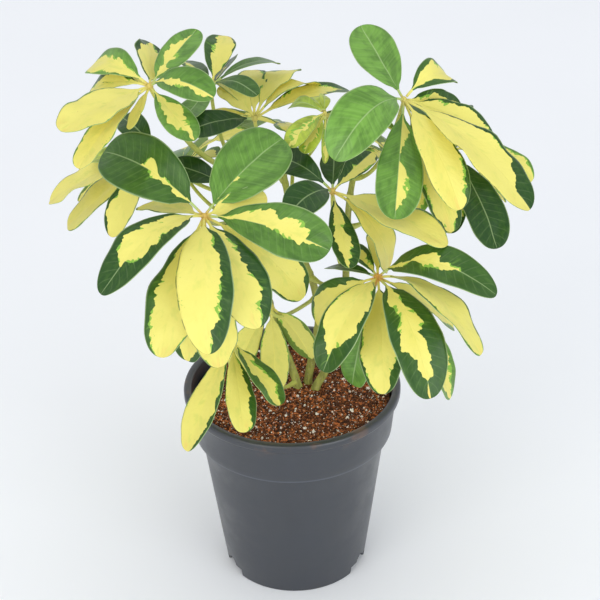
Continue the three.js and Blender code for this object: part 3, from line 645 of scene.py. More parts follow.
def make_sweep_tree():
    """A round rod along a curve, thicker at its root, with rings where leaves have fallen."""
    graph, given, result = new_group("Sweep", "GeometryNodeTree", {
        "Path": "Geometry", "Root Radius": 0.003, "Radius": 0.0025, "Tip Radius": 0.002,
        "Root Share": 0.1, "Rings": 0.0, "Ring Height": 0.0, "Sides": 16, "Steps": 60,
        "Skin": "Material",
    }, {"Mesh": "Geometry"})
    times = graph.times
    path = graph.add("GeometryNodeResampleCurve", {"Curve": given["Path"],
                                                   "Count": given["Steps"]})
    share = graph.add("GeometryNodeSplineParameter").outputs["Factor"]
    body = graph.add("ShaderNodeMapRange", {0: share, 1: given["Root Share"], 2: 1.0,
                                            3: given["Radius"], 4: given["Tip Radius"]})
    flare = times(graph.ramp(share, 0.0, given["Root Share"], 1.0, 0.0),
                  graph.minus(given["Root Radius"], given["Radius"]))
    wave = graph.math("SINE", times(share, given["Rings"], 2 * math.pi))
    swell = times(graph.math("POWER", graph.math("MAXIMUM", wave, 0.0), 10.0),
                  given["Ring Height"])
    radius = graph.plus(body.outputs[0], flare, swell)
    kept = graph.add("GeometryNodeStoreNamedAttribute", {
        "Geometry": path.outputs[0], "Name": "along", "Value": share},
        data_type="FLOAT", domain="POINT")
    sized = graph.add("GeometryNodeSetCurveRadius", {"Curve": kept.outputs[0], "Radius": radius})
    circle = graph.add("GeometryNodeCurvePrimitiveCircle", {"Resolution": given["Sides"],
                                                            "Radius": 1.0})
    rod = graph.add("GeometryNodeCurveToMesh", {
        "Curve": sized.outputs[0], "Profile Curve": circle.outputs[0], "Fill Caps": True,
        "Scale": radius})
    smooth = graph.add("GeometryNodeSetShadeSmooth", {"Geometry": rod.outputs[0],
                                                      "Shade Smooth": True})
    finish_tree(graph, result, smooth.outputs[0], given["Skin"])


def make_scatter_tree():
    """Pieces of one shape strewn over the top of the soil, turned at random."""
    graph, given, result = new_group("Strew", "GeometryNodeTree", {
        "Ground": "Geometry", "Piece": "Object", "Per Square Metre": 1e5, "Apart": 0.0,
        "Smallest": 0.5, "Largest": 1.5, "Tilt": 0.6, "Lift": 0.0, "Reach": 0.05, "Seed": 1,
        "Skin": "Material",
    }, {"Mesh": "Geometry"})
    x, y, _ = graph.parts(graph.add("GeometryNodeInputPosition").outputs[0])
    away = graph.add("ShaderNodeVectorMath", {0: graph.vector(x, y, 0.0)},
                     operation="LENGTH").outputs["Value"]
    upward = graph.parts(graph.add("GeometryNodeInputNormal").outputs[0])[2]
    inside = graph.add("FunctionNodeCompare", {0: away, 1: given["Reach"]},
                       data_type="FLOAT", operation="LESS_THAN").outputs[0]
    facing_up = graph.add("FunctionNodeCompare", {0: upward, 1: 0.3},
                          data_type="FLOAT", operation="GREATER_THAN").outputs[0]
    top = graph.add("FunctionNodeBooleanMath", {0: inside, 1: facing_up},
                    operation="AND").outputs[0]
    dots = graph.add("GeometryNodeDistributePointsOnFaces", {
        "Mesh": given["Ground"], "Selection": top, "Distance Min": given["Apart"],
        "Density Max": given["Per Square Metre"], "Seed": given["Seed"]},
        distribute_method="POISSON")
    turn = graph.add("FunctionNodeRandomValue", {0: (-1.0, -1.0, -3.14), 1: (1.0, 1.0, 3.14),
                                                 "Seed": given["Seed"]},
                     data_type="FLOAT_VECTOR").outputs[0]
    turn = graph.add("ShaderNodeVectorMath", {0: turn, 1: graph.vector(
        given["Tilt"], given["Tilt"], 1.0)}, operation="MULTIPLY").outputs[0]
    size = graph.add("FunctionNodeRandomValue", {2: given["Smallest"], 3: given["Largest"],
                                                 "Seed": graph.plus(given["Seed"], 7.0)},
                     data_type="FLOAT").outputs[1]
    shape = graph.add("GeometryNodeObjectInfo", {"Object": given["Piece"]})
    strewn = graph.add("GeometryNodeInstanceOnPoints", {
        "Points": dots.outputs[0], "Instance": shape.outputs["Geometry"],
        "Rotation": turn, "Scale": size})
    sunk = graph.add("GeometryNodeTranslateInstances", {
        "Instances": strewn.outputs[0], "Translation": graph.vector(0.0, 0.0, given["Lift"]),
        "Local Space": False})
    finish_tree(graph, result, sunk.outputs[0], given["Skin"])


# Objects and meshes

def link(name, data):
    thing = bpy.data.objects.new(name, data)
    bpy.context.scene.collection.objects.link(thing)
    return thing


def discard(thing):
    """Remove an object, and its data where nothing else uses it."""
    data = thing.data
    bpy.data.objects.remove(thing)
    if not data.users:
        bpy.data.batch_remove([data])


def grown(source, tree, values, name):
    """The plain mesh that a node tree makes from an object, which is then removed."""
    modifier = source.modifiers.new("Grow", "NODES")
    modifier.node_group = bpy.data.node_groups[tree]
    for item in modifier.node_group.interface.items_tree:
        if item.in_out == "INPUT" and item.name in values:
            modifier[item.identifier] = values[item.name]
    depsgraph = bpy.context.evaluated_depsgraph_get()
    mesh = bpy.data.meshes.new_from_object(source.evaluated_get(depsgraph))
    mesh.name = name
    source.modifiers.remove(modifier)
    discard(source)
    return mesh


def path_object(points):
    """A curve through points given in mm."""
    curve = bpy.data.curves.new("path", "CURVE")
    curve.dimensions = "3D"
    spline = curve.splines.new("POLY")
    spline.points.add(len(points) - 1)
    for knot, point in zip(spline.points, points):
        knot.co = (*(point * MM), 1.0)
    return link("path", curve)


def mesh_from(shape, name):
    """The mesh of a bmesh, which is freed."""
    mesh = bpy.data.meshes.new(name)
    shape.to_mesh(mesh)
    shape.free()
    return mesh


def set_attribute(mesh, name, values):
    """Store a number or a vector for each vertex."""
    vectors = isinstance(values[0], tuple)
    kind, field = ("FLOAT_VECTOR", "vector") if vectors else ("FLOAT", "value")
    if vectors:
        values = [part for value in values for part in value]
    layer = mesh.attributes.get(name) or mesh.attributes.new(name, kind, "POINT")
    layer.data.foreach_set(field, values)


def joined(name, meshes):
    """Several meshes as one, which keeps their materials and attributes."""
    things = [link("part", mesh) for mesh in meshes]
    with bpy.context.temp_override(active_object=things[0], selected_editable_objects=things):
        bpy.ops.object.join()
    mesh = things[0].data
    mesh.name = name
    bpy.data.objects.remove(things[0])
    bpy.data.batch_remove(meshes[1:])
    return mesh


def wheel(count):
    """The cosine and sine of equal turns round the axis."""
    turns = [2 * math.pi * i / count for i in range(count)]
    return [(math.cos(turn), math.sin(turn)) for turn in turns]


def dress(mesh, name, slot, *nodes):
    """A finished mesh becomes a piece that rides on the plant and stands for its nodes."""
    piece = link(name, mesh)
    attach(piece, BODY)
    if nodes:
        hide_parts(*nodes)
    return piece


# Leaf geometry

STALK = 0.13  # share of a leaflet that is bare stalk
STALK_START = 1.4  # mm from a hub's centre
STEM_RADII = (2.5, 1.7)  # mm at the foot and at the top
ROOT_DEPTH = 1.2  # mm that a petiole starts inside its stem
SEED_PER_LEAF, SEED_PER_LEAFLET = 37.3, 5.7


def facing(heading, pitch):
    """The way out of a leaf's face, its right and its up."""
    turn, rise = radians(heading, pitch)
    out = Vector((math.cos(rise) * math.sin(turn), -math.cos(rise) * math.cos(turn),
                  math.sin(rise)))
    right = Vector((math.cos(turn), math.sin(turn), 0.0))
    return out, right, out.cross(right)


class Blade:
    """One leaflet's shape. Its sections run from its stalk to its tip."""

    COLUMNS = 16  # faces across each side of the blade
    STALK_STEPS = 6
    STALK_RADIUS = 0.75  # mm, which is also how wide the midrib's rise is
    EDGE_THICKNESS, THICKENING = 0.1, 0.14  # mm on each side, and how much more in the middle
    RIB_DIP, RIB_DEPTH = 0.16, 0.62  # mm that the midrib lies below the top and under the back
    TIP_DROP = 1.2  # mm

    def __init__(self, hub, face, shape, green, seed, plant):
        clock, spread, self.length, self.breadth, self.bow, self.roll = shape
        self.hub, self.seed = hub, seed
        out, right, up = face
        turn, lean = radians(clock, spread)
        self.chord = (out * math.cos(lean) + up * math.sin(lean) * math.cos(turn)
                      + right * math.sin(lean) * math.sin(turn))
        level = out - self.chord * out.dot(self.chord)
        level.normalize()
        upright = Vector((0, 0, 1)) - self.chord * self.chord.z
        self.side = self.chord.cross(level)
        self.rise = (level + upright).normalized()
        draw = random.Random(seed)
        self.wave = [draw.uniform(0, 6.28) for _ in range(6)]
        flatness = min(1.0, green / 1.6)
        self.waviness = draw.uniform(0.5, 1.0) * plant.waviness * lerp(1.0, 0.2, flatness)
        self.tip_bend = draw.uniform(-0.3, 1.0)
        self.widening = draw.uniform(0.66, 0.9)
        self.rounding = draw.uniform(0.42, 0.55)
        self.skew = draw.uniform(-0.07, 0.07)
        self.fold = draw.uniform(0.1, 0.2)

    def outline(self, share):
        """Half the blade's width at a share of its length, as a share of the greatest one."""
        if share <= 0 or share >= 1:
            return 0.0
        widest = self.widening / (self.widening + self.rounding)
        top = widest ** self.widening * (1 - widest) ** self.rounding
        return share ** self.widening * (1 - share) ** self.rounding / top

    def section(self, along):
        """The ring of points round the leaflet at a share of its whole length, in mm."""
        share = max(0.0, (along - STALK) / (1 - STALK))
        blade = smooth_step(0.0, 0.09, share)  # 0 on the stalk and 1 on the blade
        centre = self.hub + (self.chord + self.rise * 4 * self.bow * (1 - along)) * (
            self.length * along)
        tangent = (self.chord + self.rise * 4 * self.bow * (1 - 2 * along)).normalized()
        across = self.side - tangent * self.side.dot(tangent)
        across = Quaternion(tangent, math.radians(self.roll)) @ across.normalized()
        flat = across.cross(tangent)
        centre = centre - flat * (self.tip_bend * smooth_step(0.6, 1.0, share) * self.TIP_DROP)
        half = self.breadth / 2 * self.outline(share)
        half = lerp(self.STALK_RADIUS, max(half, self.STALK_RADIUS * (1 - share)), blade)
        above, below = [], []
        for column in range(self.COLUMNS + 1):
            u = -1 + 2 * column / self.COLUMNS
            edge = abs(u)
            right = u >= 0
            jog = 1 + blade * edge * self.waviness * (
                0.03 * math.sin(17 * share + self.wave[right])
                + 0.09 * noise.noise(Vector((share * 7, self.seed, 8.0 if right else 3.0))))
            offset = u * half * (jog + self.skew * (-1 if right else 1) * blade)
            cup = self.fold * half * (math.sqrt(edge * edge + 0.03) - 0.17)
            ripple = self.waviness * half * edge * edge * (
                0.09 * math.sin(13 * share + self.wave[2 + right])
                + 0.035 * math.sin(24 * share + self.wave[4 + right]))
            quilt = 0.55 * noise.noise(Vector((share * self.length / 11, offset / 8, self.seed)))
            lift = blade * (cup + ripple + quilt * smooth_step(0, 0.2, share))
            round_part = math.sqrt(max(0.0, 1 - u * u)) * 0.7
            thin_part = self.EDGE_THICKNESS + self.THICKENING * (1 - edge)
            thick = lerp(round_part, thin_part, blade)
            rib = (blade * math.exp(-(offset / self.STALK_RADIUS) ** 2)
                   * max(0.0, 1 - share) ** 0.6)
            point = centre + across * offset
            above.append(point + flat * (lift + thick - self.RIB_DIP * rib))
            below.append(point + flat * (lift - thick - self.RIB_DEPTH * rib))
        return above + below[::-1]


UPPER, UNDER, STALK_SKIN = range(3)  # a leaf's materials


def leaf_mesh(name, leaf, materials, plant, number):
    """All of a leaf's leaflets in one mesh, in metres, with the markings as attributes."""
    hub, faces, _, leaflets = leaf
    face = facing(*faces)
    columns, steps, stalk_steps = Blade.COLUMNS, plant.steps, Blade.STALK_STEPS
    count = 2 * (columns + 1)
    across = [-1 + 2 * i / columns for i in range(columns + 1)]
    verts, polygons, skins = [], [], []
    data = {key: [] for key in ("across", "along", "margins", "shade", "leaflet", "hub")}
    for index, (*shape, before, after, tip, shade) in enumerate(leaflets):
        blade = Blade(Vector(hub), face, shape, before + after,
                      number * SEED_PER_LEAF + index * SEED_PER_LEAFLET, plant)
        start = STALK_START / blade.length
        stations = [lerp(start, STALK, i / stalk_steps) for i in range(stalk_steps)]
        stations += [STALK + (1 - STALK) * (1 - (1 - i / steps) ** 1.7) for i in range(steps)]
        stations.append(1.0)
        base = len(verts)
        for along in stations:
            verts += [point * MM for point in blade.section(along)]
            nearness = 1 - smooth_step(0.0, 1.0, (along - start) / (STALK - start))
            data["across"] += across + across[::-1]
            for key, value in (("along", (along - STALK) / (1 - STALK)),
                               ("margins", (before, after, tip)), ("shade", shade),
                               ("leaflet", (blade.length, blade.breadth, blade.seed)),
                               ("hub", 0.5 + 0.5 * nearness)):
                data[key] += [value] * count
        for ring in range(len(stations) - 1):
            for i in range(count):
                a, b = (base + ring * count + side for side in (i, (i + 1) % count))
                polygons.append((a, b, b + count, a + count))
                skins.append(STALK_SKIN if ring < stalk_steps
                             else UPPER if i < columns else UNDER)
        for ring, order, skin in ((0, 1, STALK_SKIN), (len(stations) - 1, -1, UNDER)):
            first = base + ring * count
            for i in range(columns):
                quad = (first + i, first + i + 1, first + count - 2 - i, first + count - 1 - i)
                polygons.append(quad[::order])
                skins.append(skin)
    mesh = bpy.data.meshes.new(name)
    mesh.from_pydata(verts, [], polygons)
    for material in materials:
        mesh.materials.append(material)
    mesh.polygons.foreach_set("material_index", skins)
    mesh.shade_smooth()
    for key, values in data.items():
        set_attribute(mesh, key, values)
    mesh.update()
    return mesh


def curve_points(curve, steps):
    return [curve(i / steps) for i in range(steps + 1)]


def petiole_points(hub, faces, stem, share):
    """From inside the stem to the hub, in mm."""
    root = centre_line(STEMS[stem], share)
    outward = hub - root
    outward.z = 0
    outward.normalize()
    surface = root + outward * lerp(*STEM_RADII, share)
    reach = (surface - hub).length
    corners = (surface - outward * ROOT_DEPTH, surface + outward * 0.25 * reach,
               hub - facing(*faces)[0] * 0.4 * reach, hub)
    return curve_points(lambda place: bezier(corners, place), 40)


def hub_mesh(hub, radius, warmth, material):
    """The knobbly ball that the leaflets grow from. Its place and radius are in mm."""
    ball = bmesh.new()
    bmesh.ops.create_icosphere(ball, subdivisions=3, radius=radius)
    for vert in ball.verts:
        bump = 1 + 0.16 * noise.noise(vert.co * 1.1 + hub)
        vert.co = (hub + vert.co * bump) * MM
    mesh = mesh_from(ball, "hub")
    mesh.materials.append(material)
    mesh.shade_smooth()
    set_attribute(mesh, "hub", [1.0] * len(mesh.vertices))
    set_attribute(mesh, "warmth", [warmth] * len(mesh.vertices))
    return mesh


# Settings

ColorProperty = functools.partial(FloatVectorProperty, subtype="COLOR", size=4, min=0, max=1)


class PlantSettings(bpy.types.PropertyGroup):
    steps: IntProperty(name="Leaflet Steps", default=30, min=12, max=60,
                       description="Rings of points along each leaflet's blade")
    waviness: FloatProperty(name="Waviness", default=1.0, min=0.0, max=2.0, subtype="FACTOR",
                            description="How much the leaflets' edges ripple")
    cream: ColorProperty(name="Cream", default=(0.76, 0.695, 0.168, 1.0),
                         description="Palest part of a leaflet")
    straw: ColorProperty(name="Straw", default=(0.74, 0.68, 0.155, 1.0),
                         description="Deeper yellow of a leaflet")
    dark_green: ColorProperty(name="Dark Green", default=(0.014, 0.06, 0.006, 1.0),
                              description="Darkest green of a leaflet")
    fresh_green: ColorProperty(name="Fresh Green", default=(0.165, 0.355, 0.052, 1.0),
                               description="Middle green of a leaflet")
    young_green: ColorProperty(name="Young Green", default=(0.5, 0.6, 0.06, 1.0),
                               description="Yellow green of young leaflets")
    lime: ColorProperty(name="Lime", default=(0.22, 0.44, 0.05, 1.0),
                        description="Fringe between the green and the cream")
    pale_rim: ColorProperty(name="Pale Rim", default=(0.42, 0.56, 0.26, 1.0),
                            description="Rim and midrib on green")
    dark_rim: ColorProperty(name="Dark Rim", default=(0.05, 0.075, 0.02, 1.0),
                            description="Broken line round a cream edge")
    petiole: ColorProperty(name="Petiole", default=(0.54, 0.58, 0.13, 1.0),
                           description="Leaf stalks")
    stalk: ColorProperty(name="Leaflet Stalk", default=(0.4, 0.52, 0.16, 1.0),
                         description="Bare stalks of green leaflets")
    hub: ColorProperty(name="Hub", default=(0.72, 0.34, 0.06, 1.0),
                       description="Where the leaflets meet")
    bark: ColorProperty(name="Bark", default=(0.42, 0.44, 0.1, 1.0), description="Old stems")


class PotSettings(bpy.types.PropertyGroup):
    color: ColorProperty(name="Plastic", default=(0.021, 0.025, 0.034, 1.0),
                         description="Pot's plastic")
    step_height: FloatProperty(name="Step Height", default=0.0955, unit="LENGTH",
                               description="Height of the step under the pot's collar")
    sides: IntProperty(name="Sides", default=144, min=48, max=288,
                       description="Facets round the pot")


class SoilSettings(bpy.types.PropertyGroup):
    level: FloatProperty(name="Level", default=0.116, unit="LENGTH",
                         description="Height of the soil's surface")
    relief: FloatProperty(name="Relief", default=0.0012, unit="LENGTH",
                          description="How far the soil's surface rises and falls")
    coir: ColorProperty(name="Coir", default=(0.68, 0.2, 0.05, 1.0),
                        description="Reddish fibre")
    humus: ColorProperty(name="Humus", default=(0.035, 0.01, 0.005, 1.0),
                         description="Dark crumbs")
    perlite: ColorProperty(name="Perlite", default=(0.95, 0.9, 0.84, 1.0),
                           description="Pale grains")
    seed: IntProperty(name="Seed", default=11, description="Draw of the loose pieces")


class StageSettings(bpy.types.PropertyGroup):
    floor: ColorProperty(name="Floor", default=(0.88, 0.895, 0.93, 1.0), description="Table top")
    lens: FloatProperty(name="Lens", default=120.0, description="Focal length in millimetres")


class UmbrellaPlantSettings(bpy.types.PropertyGroup):
    plant: PointerProperty(type=PlantSettings, name="Plant", description="Leaves and stems")
    pot: PointerProperty(type=PotSettings, name="Pot", description="Nursery pot")
    soil: PointerProperty(type=SoilSettings, name="Soil", description="Potting soil")
    stage: PointerProperty(type=StageSettings, name="Stage", description="Floor and camera")


def settings():
    return bpy.context.scene.umbrella_plant


# Pieces

SLOTS = {"leaf_upper_left": "leaf_cream", "leaf_back_middle_high": "leaf_cream",
         "leaf_low_left": "leaf_cream", "leaf_left": "leaf_cream", "leaf_right": "leaf_green",
         "leaf_inner": "leaf_green", "leaf_young_shoot": "leaf_young"}
# How orange each hub is, where it isn't as pale as most
WARMTH = {"leaf_front_left": 0.6, "leaf_front_right": 1.0, "leaf_middle": 0.5,
          "leaf_upper_left": 0.3}
# How thick each petiole is, where it isn't as thick as most
THICKNESS = {"leaf_young_shoot": 0.7, "leaf_upper_left": 1.35, "leaf_low_left": 0.85}

PETIOLE = {"Root Radius": 0.0021, "Radius": 0.0012, "Tip Radius": 0.00105}
HUB_RADIUS = 1.9  # mm
STEM_FLARE = 0.3  # mm more at the foot


class PLANT_OT_leaves(bpy.types.Operator):
    """Grow every leaf with its petiole, hub and leaflets"""
    bl_idname = "umbrella_plant.leaves"
    bl_label = "Leaves"

    def execute(self, context):
        plant = settings().plant
        skins = [blade_material("blade_upper", plant, True),
                 blade_material("blade_under", plant, False), stalk_material(plant)]
        for number, (name, leaf) in enumerate(LEAVES.items(), 1):
            hub, faces, grows, _ = leaf
            hub = Vector(hub)
            thickness, warmth = THICKNESS.get(name, 1.0), WARMTH.get(name, 0.1)
            blades = leaf_mesh(name, leaf, skins, plant, number)
            radii = {key: radius * thickness for key, radius in PETIOLE.items()}
            rod = grown(path_object(petiole_points(hub, faces, *grows)), "Sweep", {
                **radii, "Root Share": 0.12, "Sides": 14, "Steps": 44,
                "Skin": skins[STALK_SKIN]}, "petiole")
            along = [0.0] * len(rod.vertices)
            rod.attributes["along"].data.foreach_get("value", along)
            set_attribute(rod, "hub", [0.5 * smooth_step(0.7, 1.0, share) for share in along])
            for mesh in (blades, rod):
                set_attribute(mesh, "warmth", [warmth] * len(mesh.vertices))
            knob = hub_mesh(hub, HUB_RADIUS * min(thickness, 1.0), warmth, skins[STALK_SKIN])
            dress(joined(name, [blades, rod, knob]), name + "_foliage",
                  SLOTS.get(name, "leaf_mixed"), name)
        return {"FINISHED"}


class PLANT_OT_stems(bpy.types.Operator):
    """Sweep the three woody stems"""
    bl_idname = "umbrella_plant.stems"
    bl_label = "Stems"

    def execute(self, context):
        bark = bark_material(settings().plant)
        foot, top = STEM_RADII
        for name, points in STEMS.items():
            line = curve_points(lambda share: centre_line(points, share), 60)
            rod = grown(path_object(line), "Sweep", {
                "Root Radius": (foot + STEM_FLARE) * MM, "Radius": foot * MM,
                "Tip Radius": top * MM, "Root Share": 0.2, "Rings": 9.0,
                "Ring Height": 0.00035, "Sides": 22, "Steps": 140, "Skin": bark}, name)
            dress(rod, name + "_bark", "stem", name)
        return {"FINISHED"}


# The soil's top and the radius and height of each corner down its side, in metres
SOIL_RADIUS, SOIL_RINGS, SOIL_SPOKES = 0.0586, 64, 220
SOIL_EDGE, SOIL_EDGE_DEPTH = 0.0587, 0.003
SOIL_SIDE = ((0.0578, 0.1), (0.0532, 0.0905), (0.0417, 0.0073))


def soil_ground(soil):
    """The soil's body: an uneven top and the sides that fill the pot, in metres."""
    ground = bmesh.new()

    def top(x, y):
        place = Vector((x, y, 0.0))
        rough = (noise.noise(place * 90) + 0.6 * noise.noise(place * 260)
                 + 0.45 * noise.noise(place * 700))
        return ground.verts.new((x, y, soil.level + soil.relief * rough))

    spokes = wheel(SOIL_SPOKES)
    radii = [SOIL_RADIUS * ring / SOIL_RINGS for ring in range(1, SOIL_RINGS + 1)]
    loops = [[top(radius * x, radius * y) for x, y in spokes] for radius in radii]
    loops += [[ground.verts.new((radius * x, radius * y, level)) for x, y in spokes]
              for radius, level in ((SOIL_EDGE, soil.level - SOIL_EDGE_DEPTH), *SOIL_SIDE)]
    centre = top(0, 0)
    foot = ground.verts.new((0, 0, SOIL_SIDE[-1][1]))
    for i in range(SOIL_SPOKES):
        j = (i + 1) % SOIL_SPOKES
        ground.faces.new((centre, loops[0][i], loops[0][j]))
        ground.faces.new((foot, loops[-1][j], loops[-1][i]))
        for inner, outer in zip(loops, loops[1:]):
            ground.faces.new((inner[i], outer[i], outer[j], inner[j]))
    mesh = mesh_from(ground, "soil_ground")
    mesh.shade_smooth()
    return mesh


def shard(name, size, seed, subdivisions=1, roughness=0.35):
    """A small irregular grain about as large as the size given, in metres."""
    grain = bmesh.new()
    bmesh.ops.create_icosphere(grain, subdivisions=subdivisions, radius=0.5)
    for vert in grain.verts:
        push = 1 + roughness * noise.noise(vert.co * 3.1 + Vector((seed, 0, 0)))
        vert.co = Vector([part * extent * push for part, extent in zip(vert.co, size)])
    return link(name, mesh_from(grain, name))


def fibre(name, length, radius, bend):
    """A short bent strand of coir."""
    steps = 6
    points = [Vector((lerp(-0.5, 0.5, i / steps) * length, bend * math.sin(i * 0.9) * length,
                      0.06 * length * math.sin(i))) / MM for i in range(steps + 1)]
    mesh = grown(path_object(points), "Sweep", {
        "Root Radius": radius, "Radius": radius, "Tip Radius": radius * 0.5, "Sides": 4,
        "Steps": steps + 1}, name)
    return link(name, mesh)


# What lies on the soil: its shape, its material, and how it is strewn
STREWN_INPUTS = ("Per Square Metre", "Apart", "Smallest", "Largest", "Tilt", "Lift")
STREWN = {
    "soil_chips": ("chip", "chip", (4.2e5, 0.0005, 0.4, 1.3, 0.8, 0.0)),
    "soil_crumbs": ("crumb", "earth", (2.4e5, 0.0008, 0.5, 1.4, 1.0, 0.0)),
    "soil_fibres": ("strand", "strand", (1.1e5, 0.0008, 0.4, 1.1, 0.22, 0.0005)),
    "soil_perlite": ("bead", "white", (1.9e4, 0.0022, 0.35, 1.2, 1.0, 0.0003)),
    "soil_lumps": ("lump", "white", (1.6e3, 0.006, 0.5, 1.1, 1.0, 0.0004)),
    "soil_grit": ("bead", "white", (1e5, 0.001, 0.18, 0.5, 1.0, 0.0007)),
}
STREWN_REACH = 0.0565  # metres from the axis


class PLANT_OT_soil(bpy.types.Operator):
    """Fill the pot with soil and strew crumbs, fibres and perlite over it"""
    bl_idname = "umbrella_plant.soil"
    bl_label = "Soil"

    def execute(self, context):
        soil = settings().soil
        coir, humus, pale = soil.coir, soil.humus, soil.perlite
        skins = {
            "earth": crumb_material("soil_earth", humus, tint(coir, 0.3), 160.0, 0.95),
            "chip": crumb_material("soil_chips", coir, humus, 60.0, 0.55),
            "strand": crumb_material("soil_fibres", tint(coir, 1.6), tint(coir, 0.5), 50.0, 0.5),
            "white": crumb_material("soil_perlite", pale, tint(pale, 0.92), 40.0, 0.8, 0.12),
        }
        ground = soil_ground(soil)
        ground.materials.append(skins["earth"])
        dress(ground, "soil_body", "soil", "soil")
        shapes = {
            "chip": shard("chip_shape", (0.0032, 0.0015, 0.001), 3.0),
            "crumb": shard("crumb_shape", (0.0024, 0.002, 0.0017), 9.0),
            "bead": shard("bead_shape", (0.0017, 0.0015, 0.0013), 5.0, 2),
            "lump": shard("lump_shape", (0.0029, 0.0022, 0.0018), 12.0, 3, 0.9),
            "strand": fibre("strand_shape", 0.007, 0.00013, 0.16),
        }
        for seed, (name, (shape, skin, values)) in enumerate(STREWN.items(), soil.seed):
            mesh = grown(link("ground", ground.copy()), "Strew", {
                **dict(zip(STREWN_INPUTS, values)), "Piece": shapes[shape],
                "Skin": skins[skin], "Reach": STREWN_REACH, "Seed": seed}, name)
            dress(mesh, name, "soil")
        for shape in shapes.values():
            discard(shape)
        return {"FINISHED"}


POT_PROFILE = [  # radius and height in mm, from under the floor up the outside and down inside
    (0, 5), (40.6, 5), (41.2, 4.4), (41.2, 0.4), (41.5, 0), (42.8, 0), (43.2, 0.4), (43.3, 1),
    (46.6, 25), (49.9, 50), (53.2, 75), (55.6, 92.6), (56.0, 94.0), (56.9, 94.6), (58.6, 94.9),
    (59.5, 95.3), (59.85, 96.2), (60.3, 100), (61.4, 110), (62.15, 118.2), (62.5, 119.3),
    (63.8, 119.8), (64.6, 120.2), (65, 121), (65, 123.6), (64.7, 124.5), (64, 125),
    (61.5, 125), (60.7, 124.7), (60.3, 124), (59.3, 114), (58.1, 100), (57.8, 96.5), (57.0, 94.6),
    (54.2, 93.2), (53.6, 92), (50.0, 65), (46.0, 35), (42.4, 8.2), (41.4, 7.2), (40.4, 7), (0, 7),
]
GAPS = (64, 180, 296)  # headings of the gaps in the foot ring, in degrees
GAP_WIDTH, DRAIN_WIDTH, CUT_HEIGHT = 20, 8, 5  # mm; the drain has a round top besides
CUT_DEPTHS = (37.0, 52.0)  # mm from the pot's axis


def pot_shell(pot):
    """The turned shell of the pot, in metres."""
    shell = bmesh.new()
    rings = []
    for radius, level in POT_PROFILE:
        if radius == 0:
            rings.append([shell.verts.new((0, 0, level * MM))])
        else:
            rings.append([shell.verts.new((radius * MM * y, -radius * MM * x, level * MM))
                          for x, y in wheel(pot.sides)])
    for lower, upper in zip(rings, rings[1:]):
        for i in range(pot.sides):
            j = (i + 1) % pot.sides
            if len(lower) == 1:
                shell.faces.new((lower[0], upper[j], upper[i]))
            elif len(upper) == 1:
                shell.faces.new((lower[i], lower[j], upper[0]))
            else:
                shell.faces.new((lower[i], lower[j], upper[j], upper[i]))
    bmesh.ops.recalc_face_normals(shell, faces=shell.faces)
    return link("pot_shell", mesh_from(shell, "pot_shell"))


def pot_cutter(width, arch, heading):
    """A slot with straight sides and a round top, cut towards the pot's axis, sizes in mm."""
    outline = [(-width / 2, -1), (width / 2, -1), (width / 2, CUT_HEIGHT)]
    if arch:
        outline += [(arch * math.cos(a), CUT_HEIGHT + arch * math.sin(a))
                    for a in (math.pi * i / 14 for i in range(1, 14))]
    outline.append((-width / 2, CUT_HEIGHT))
    cut = bmesh.new()
    turn = Matrix.Rotation(math.radians(heading), 4, "Z")
    ends = [[cut.verts.new(turn @ Vector((x * MM, -depth * MM, z * MM))) for x, z in outline]
            for depth in CUT_DEPTHS]
    for i in range(len(outline)):
        j = (i + 1) % len(outline)
        cut.faces.new((ends[0][i], ends[0][j], ends[1][j], ends[1][i]))
    cut.faces.new(ends[0])
    cut.faces.new(ends[1][::-1])
    bmesh.ops.recalc_face_normals(cut, faces=cut.faces)
    return link("cutter", mesh_from(cut, "cutter"))


class PLANT_OT_pot(bpy.types.Operator):
    """Turn the nursery pot and cut its feet and drain holes"""
    bl_idname = "umbrella_plant.pot"
    bl_label = "Pot"

    def execute(self, context):
        pot = settings().pot
        shell = pot_shell(pot)
        cutters = [pot_cutter(width, arch, heading) for heading in GAPS
                   for width, arch in ((GAP_WIDTH, 0), (DRAIN_WIDTH, DRAIN_WIDTH / 2))]
        for cutter in cutters:
            cut = shell.modifiers.new("Cut", "BOOLEAN")
            cut.operation = "DIFFERENCE"
            cut.solver = "EXACT"
            cut.object = cutter
        depsgraph = context.evaluated_depsgraph_get()
        mesh = bpy.data.meshes.new_from_object(shell.evaluated_get(depsgraph))
        mesh.name = "pot_wall"
        for thing in [shell] + cutters:
            discard(thing)
        mesh.materials.clear()
        mesh.materials.append(pot_material(pot))
        mesh.shade_smooth()
        mesh.set_sharp_from_angle(angle=math.radians(42))
        dress(mesh, "pot_wall", "pot", "pot")
        return {"FINISHED"}


CAMERA_TARGET = Vector((5.8, 0.0, 183.5)) * MM
CAMERA_DISTANCE = 1.168
CAMERA_TILT, CAMERA_ROLL = 31.8, -1.24  # degrees
# Lights: where they hang, their size in metres, their power and their colour
LAMPS = {
    "key": ((-1.4, -2.2, 1.4), 2.2, 29.0, (1.0, 0.98, 0.94)),
    "fill": ((1.6, -2.0, 1.0), 2.2, 27.0, (0.94, 0.97, 1.0)),
    "sky": ((0.1, 0.4, 2.4), 2.0, 4.0, (1.0, 1.0, 1.0)),
}
LAMP_TARGET = Vector((0, 0, 0.2))
SKY_COLOR, SKY_STRENGTH = (0.96, 0.98, 1.0, 1.0), 0.83
FLOOR_CORNERS = [(-6, -6, 0), (6, -6, 0), (6, 6, 0), (-6, 6, 0)]


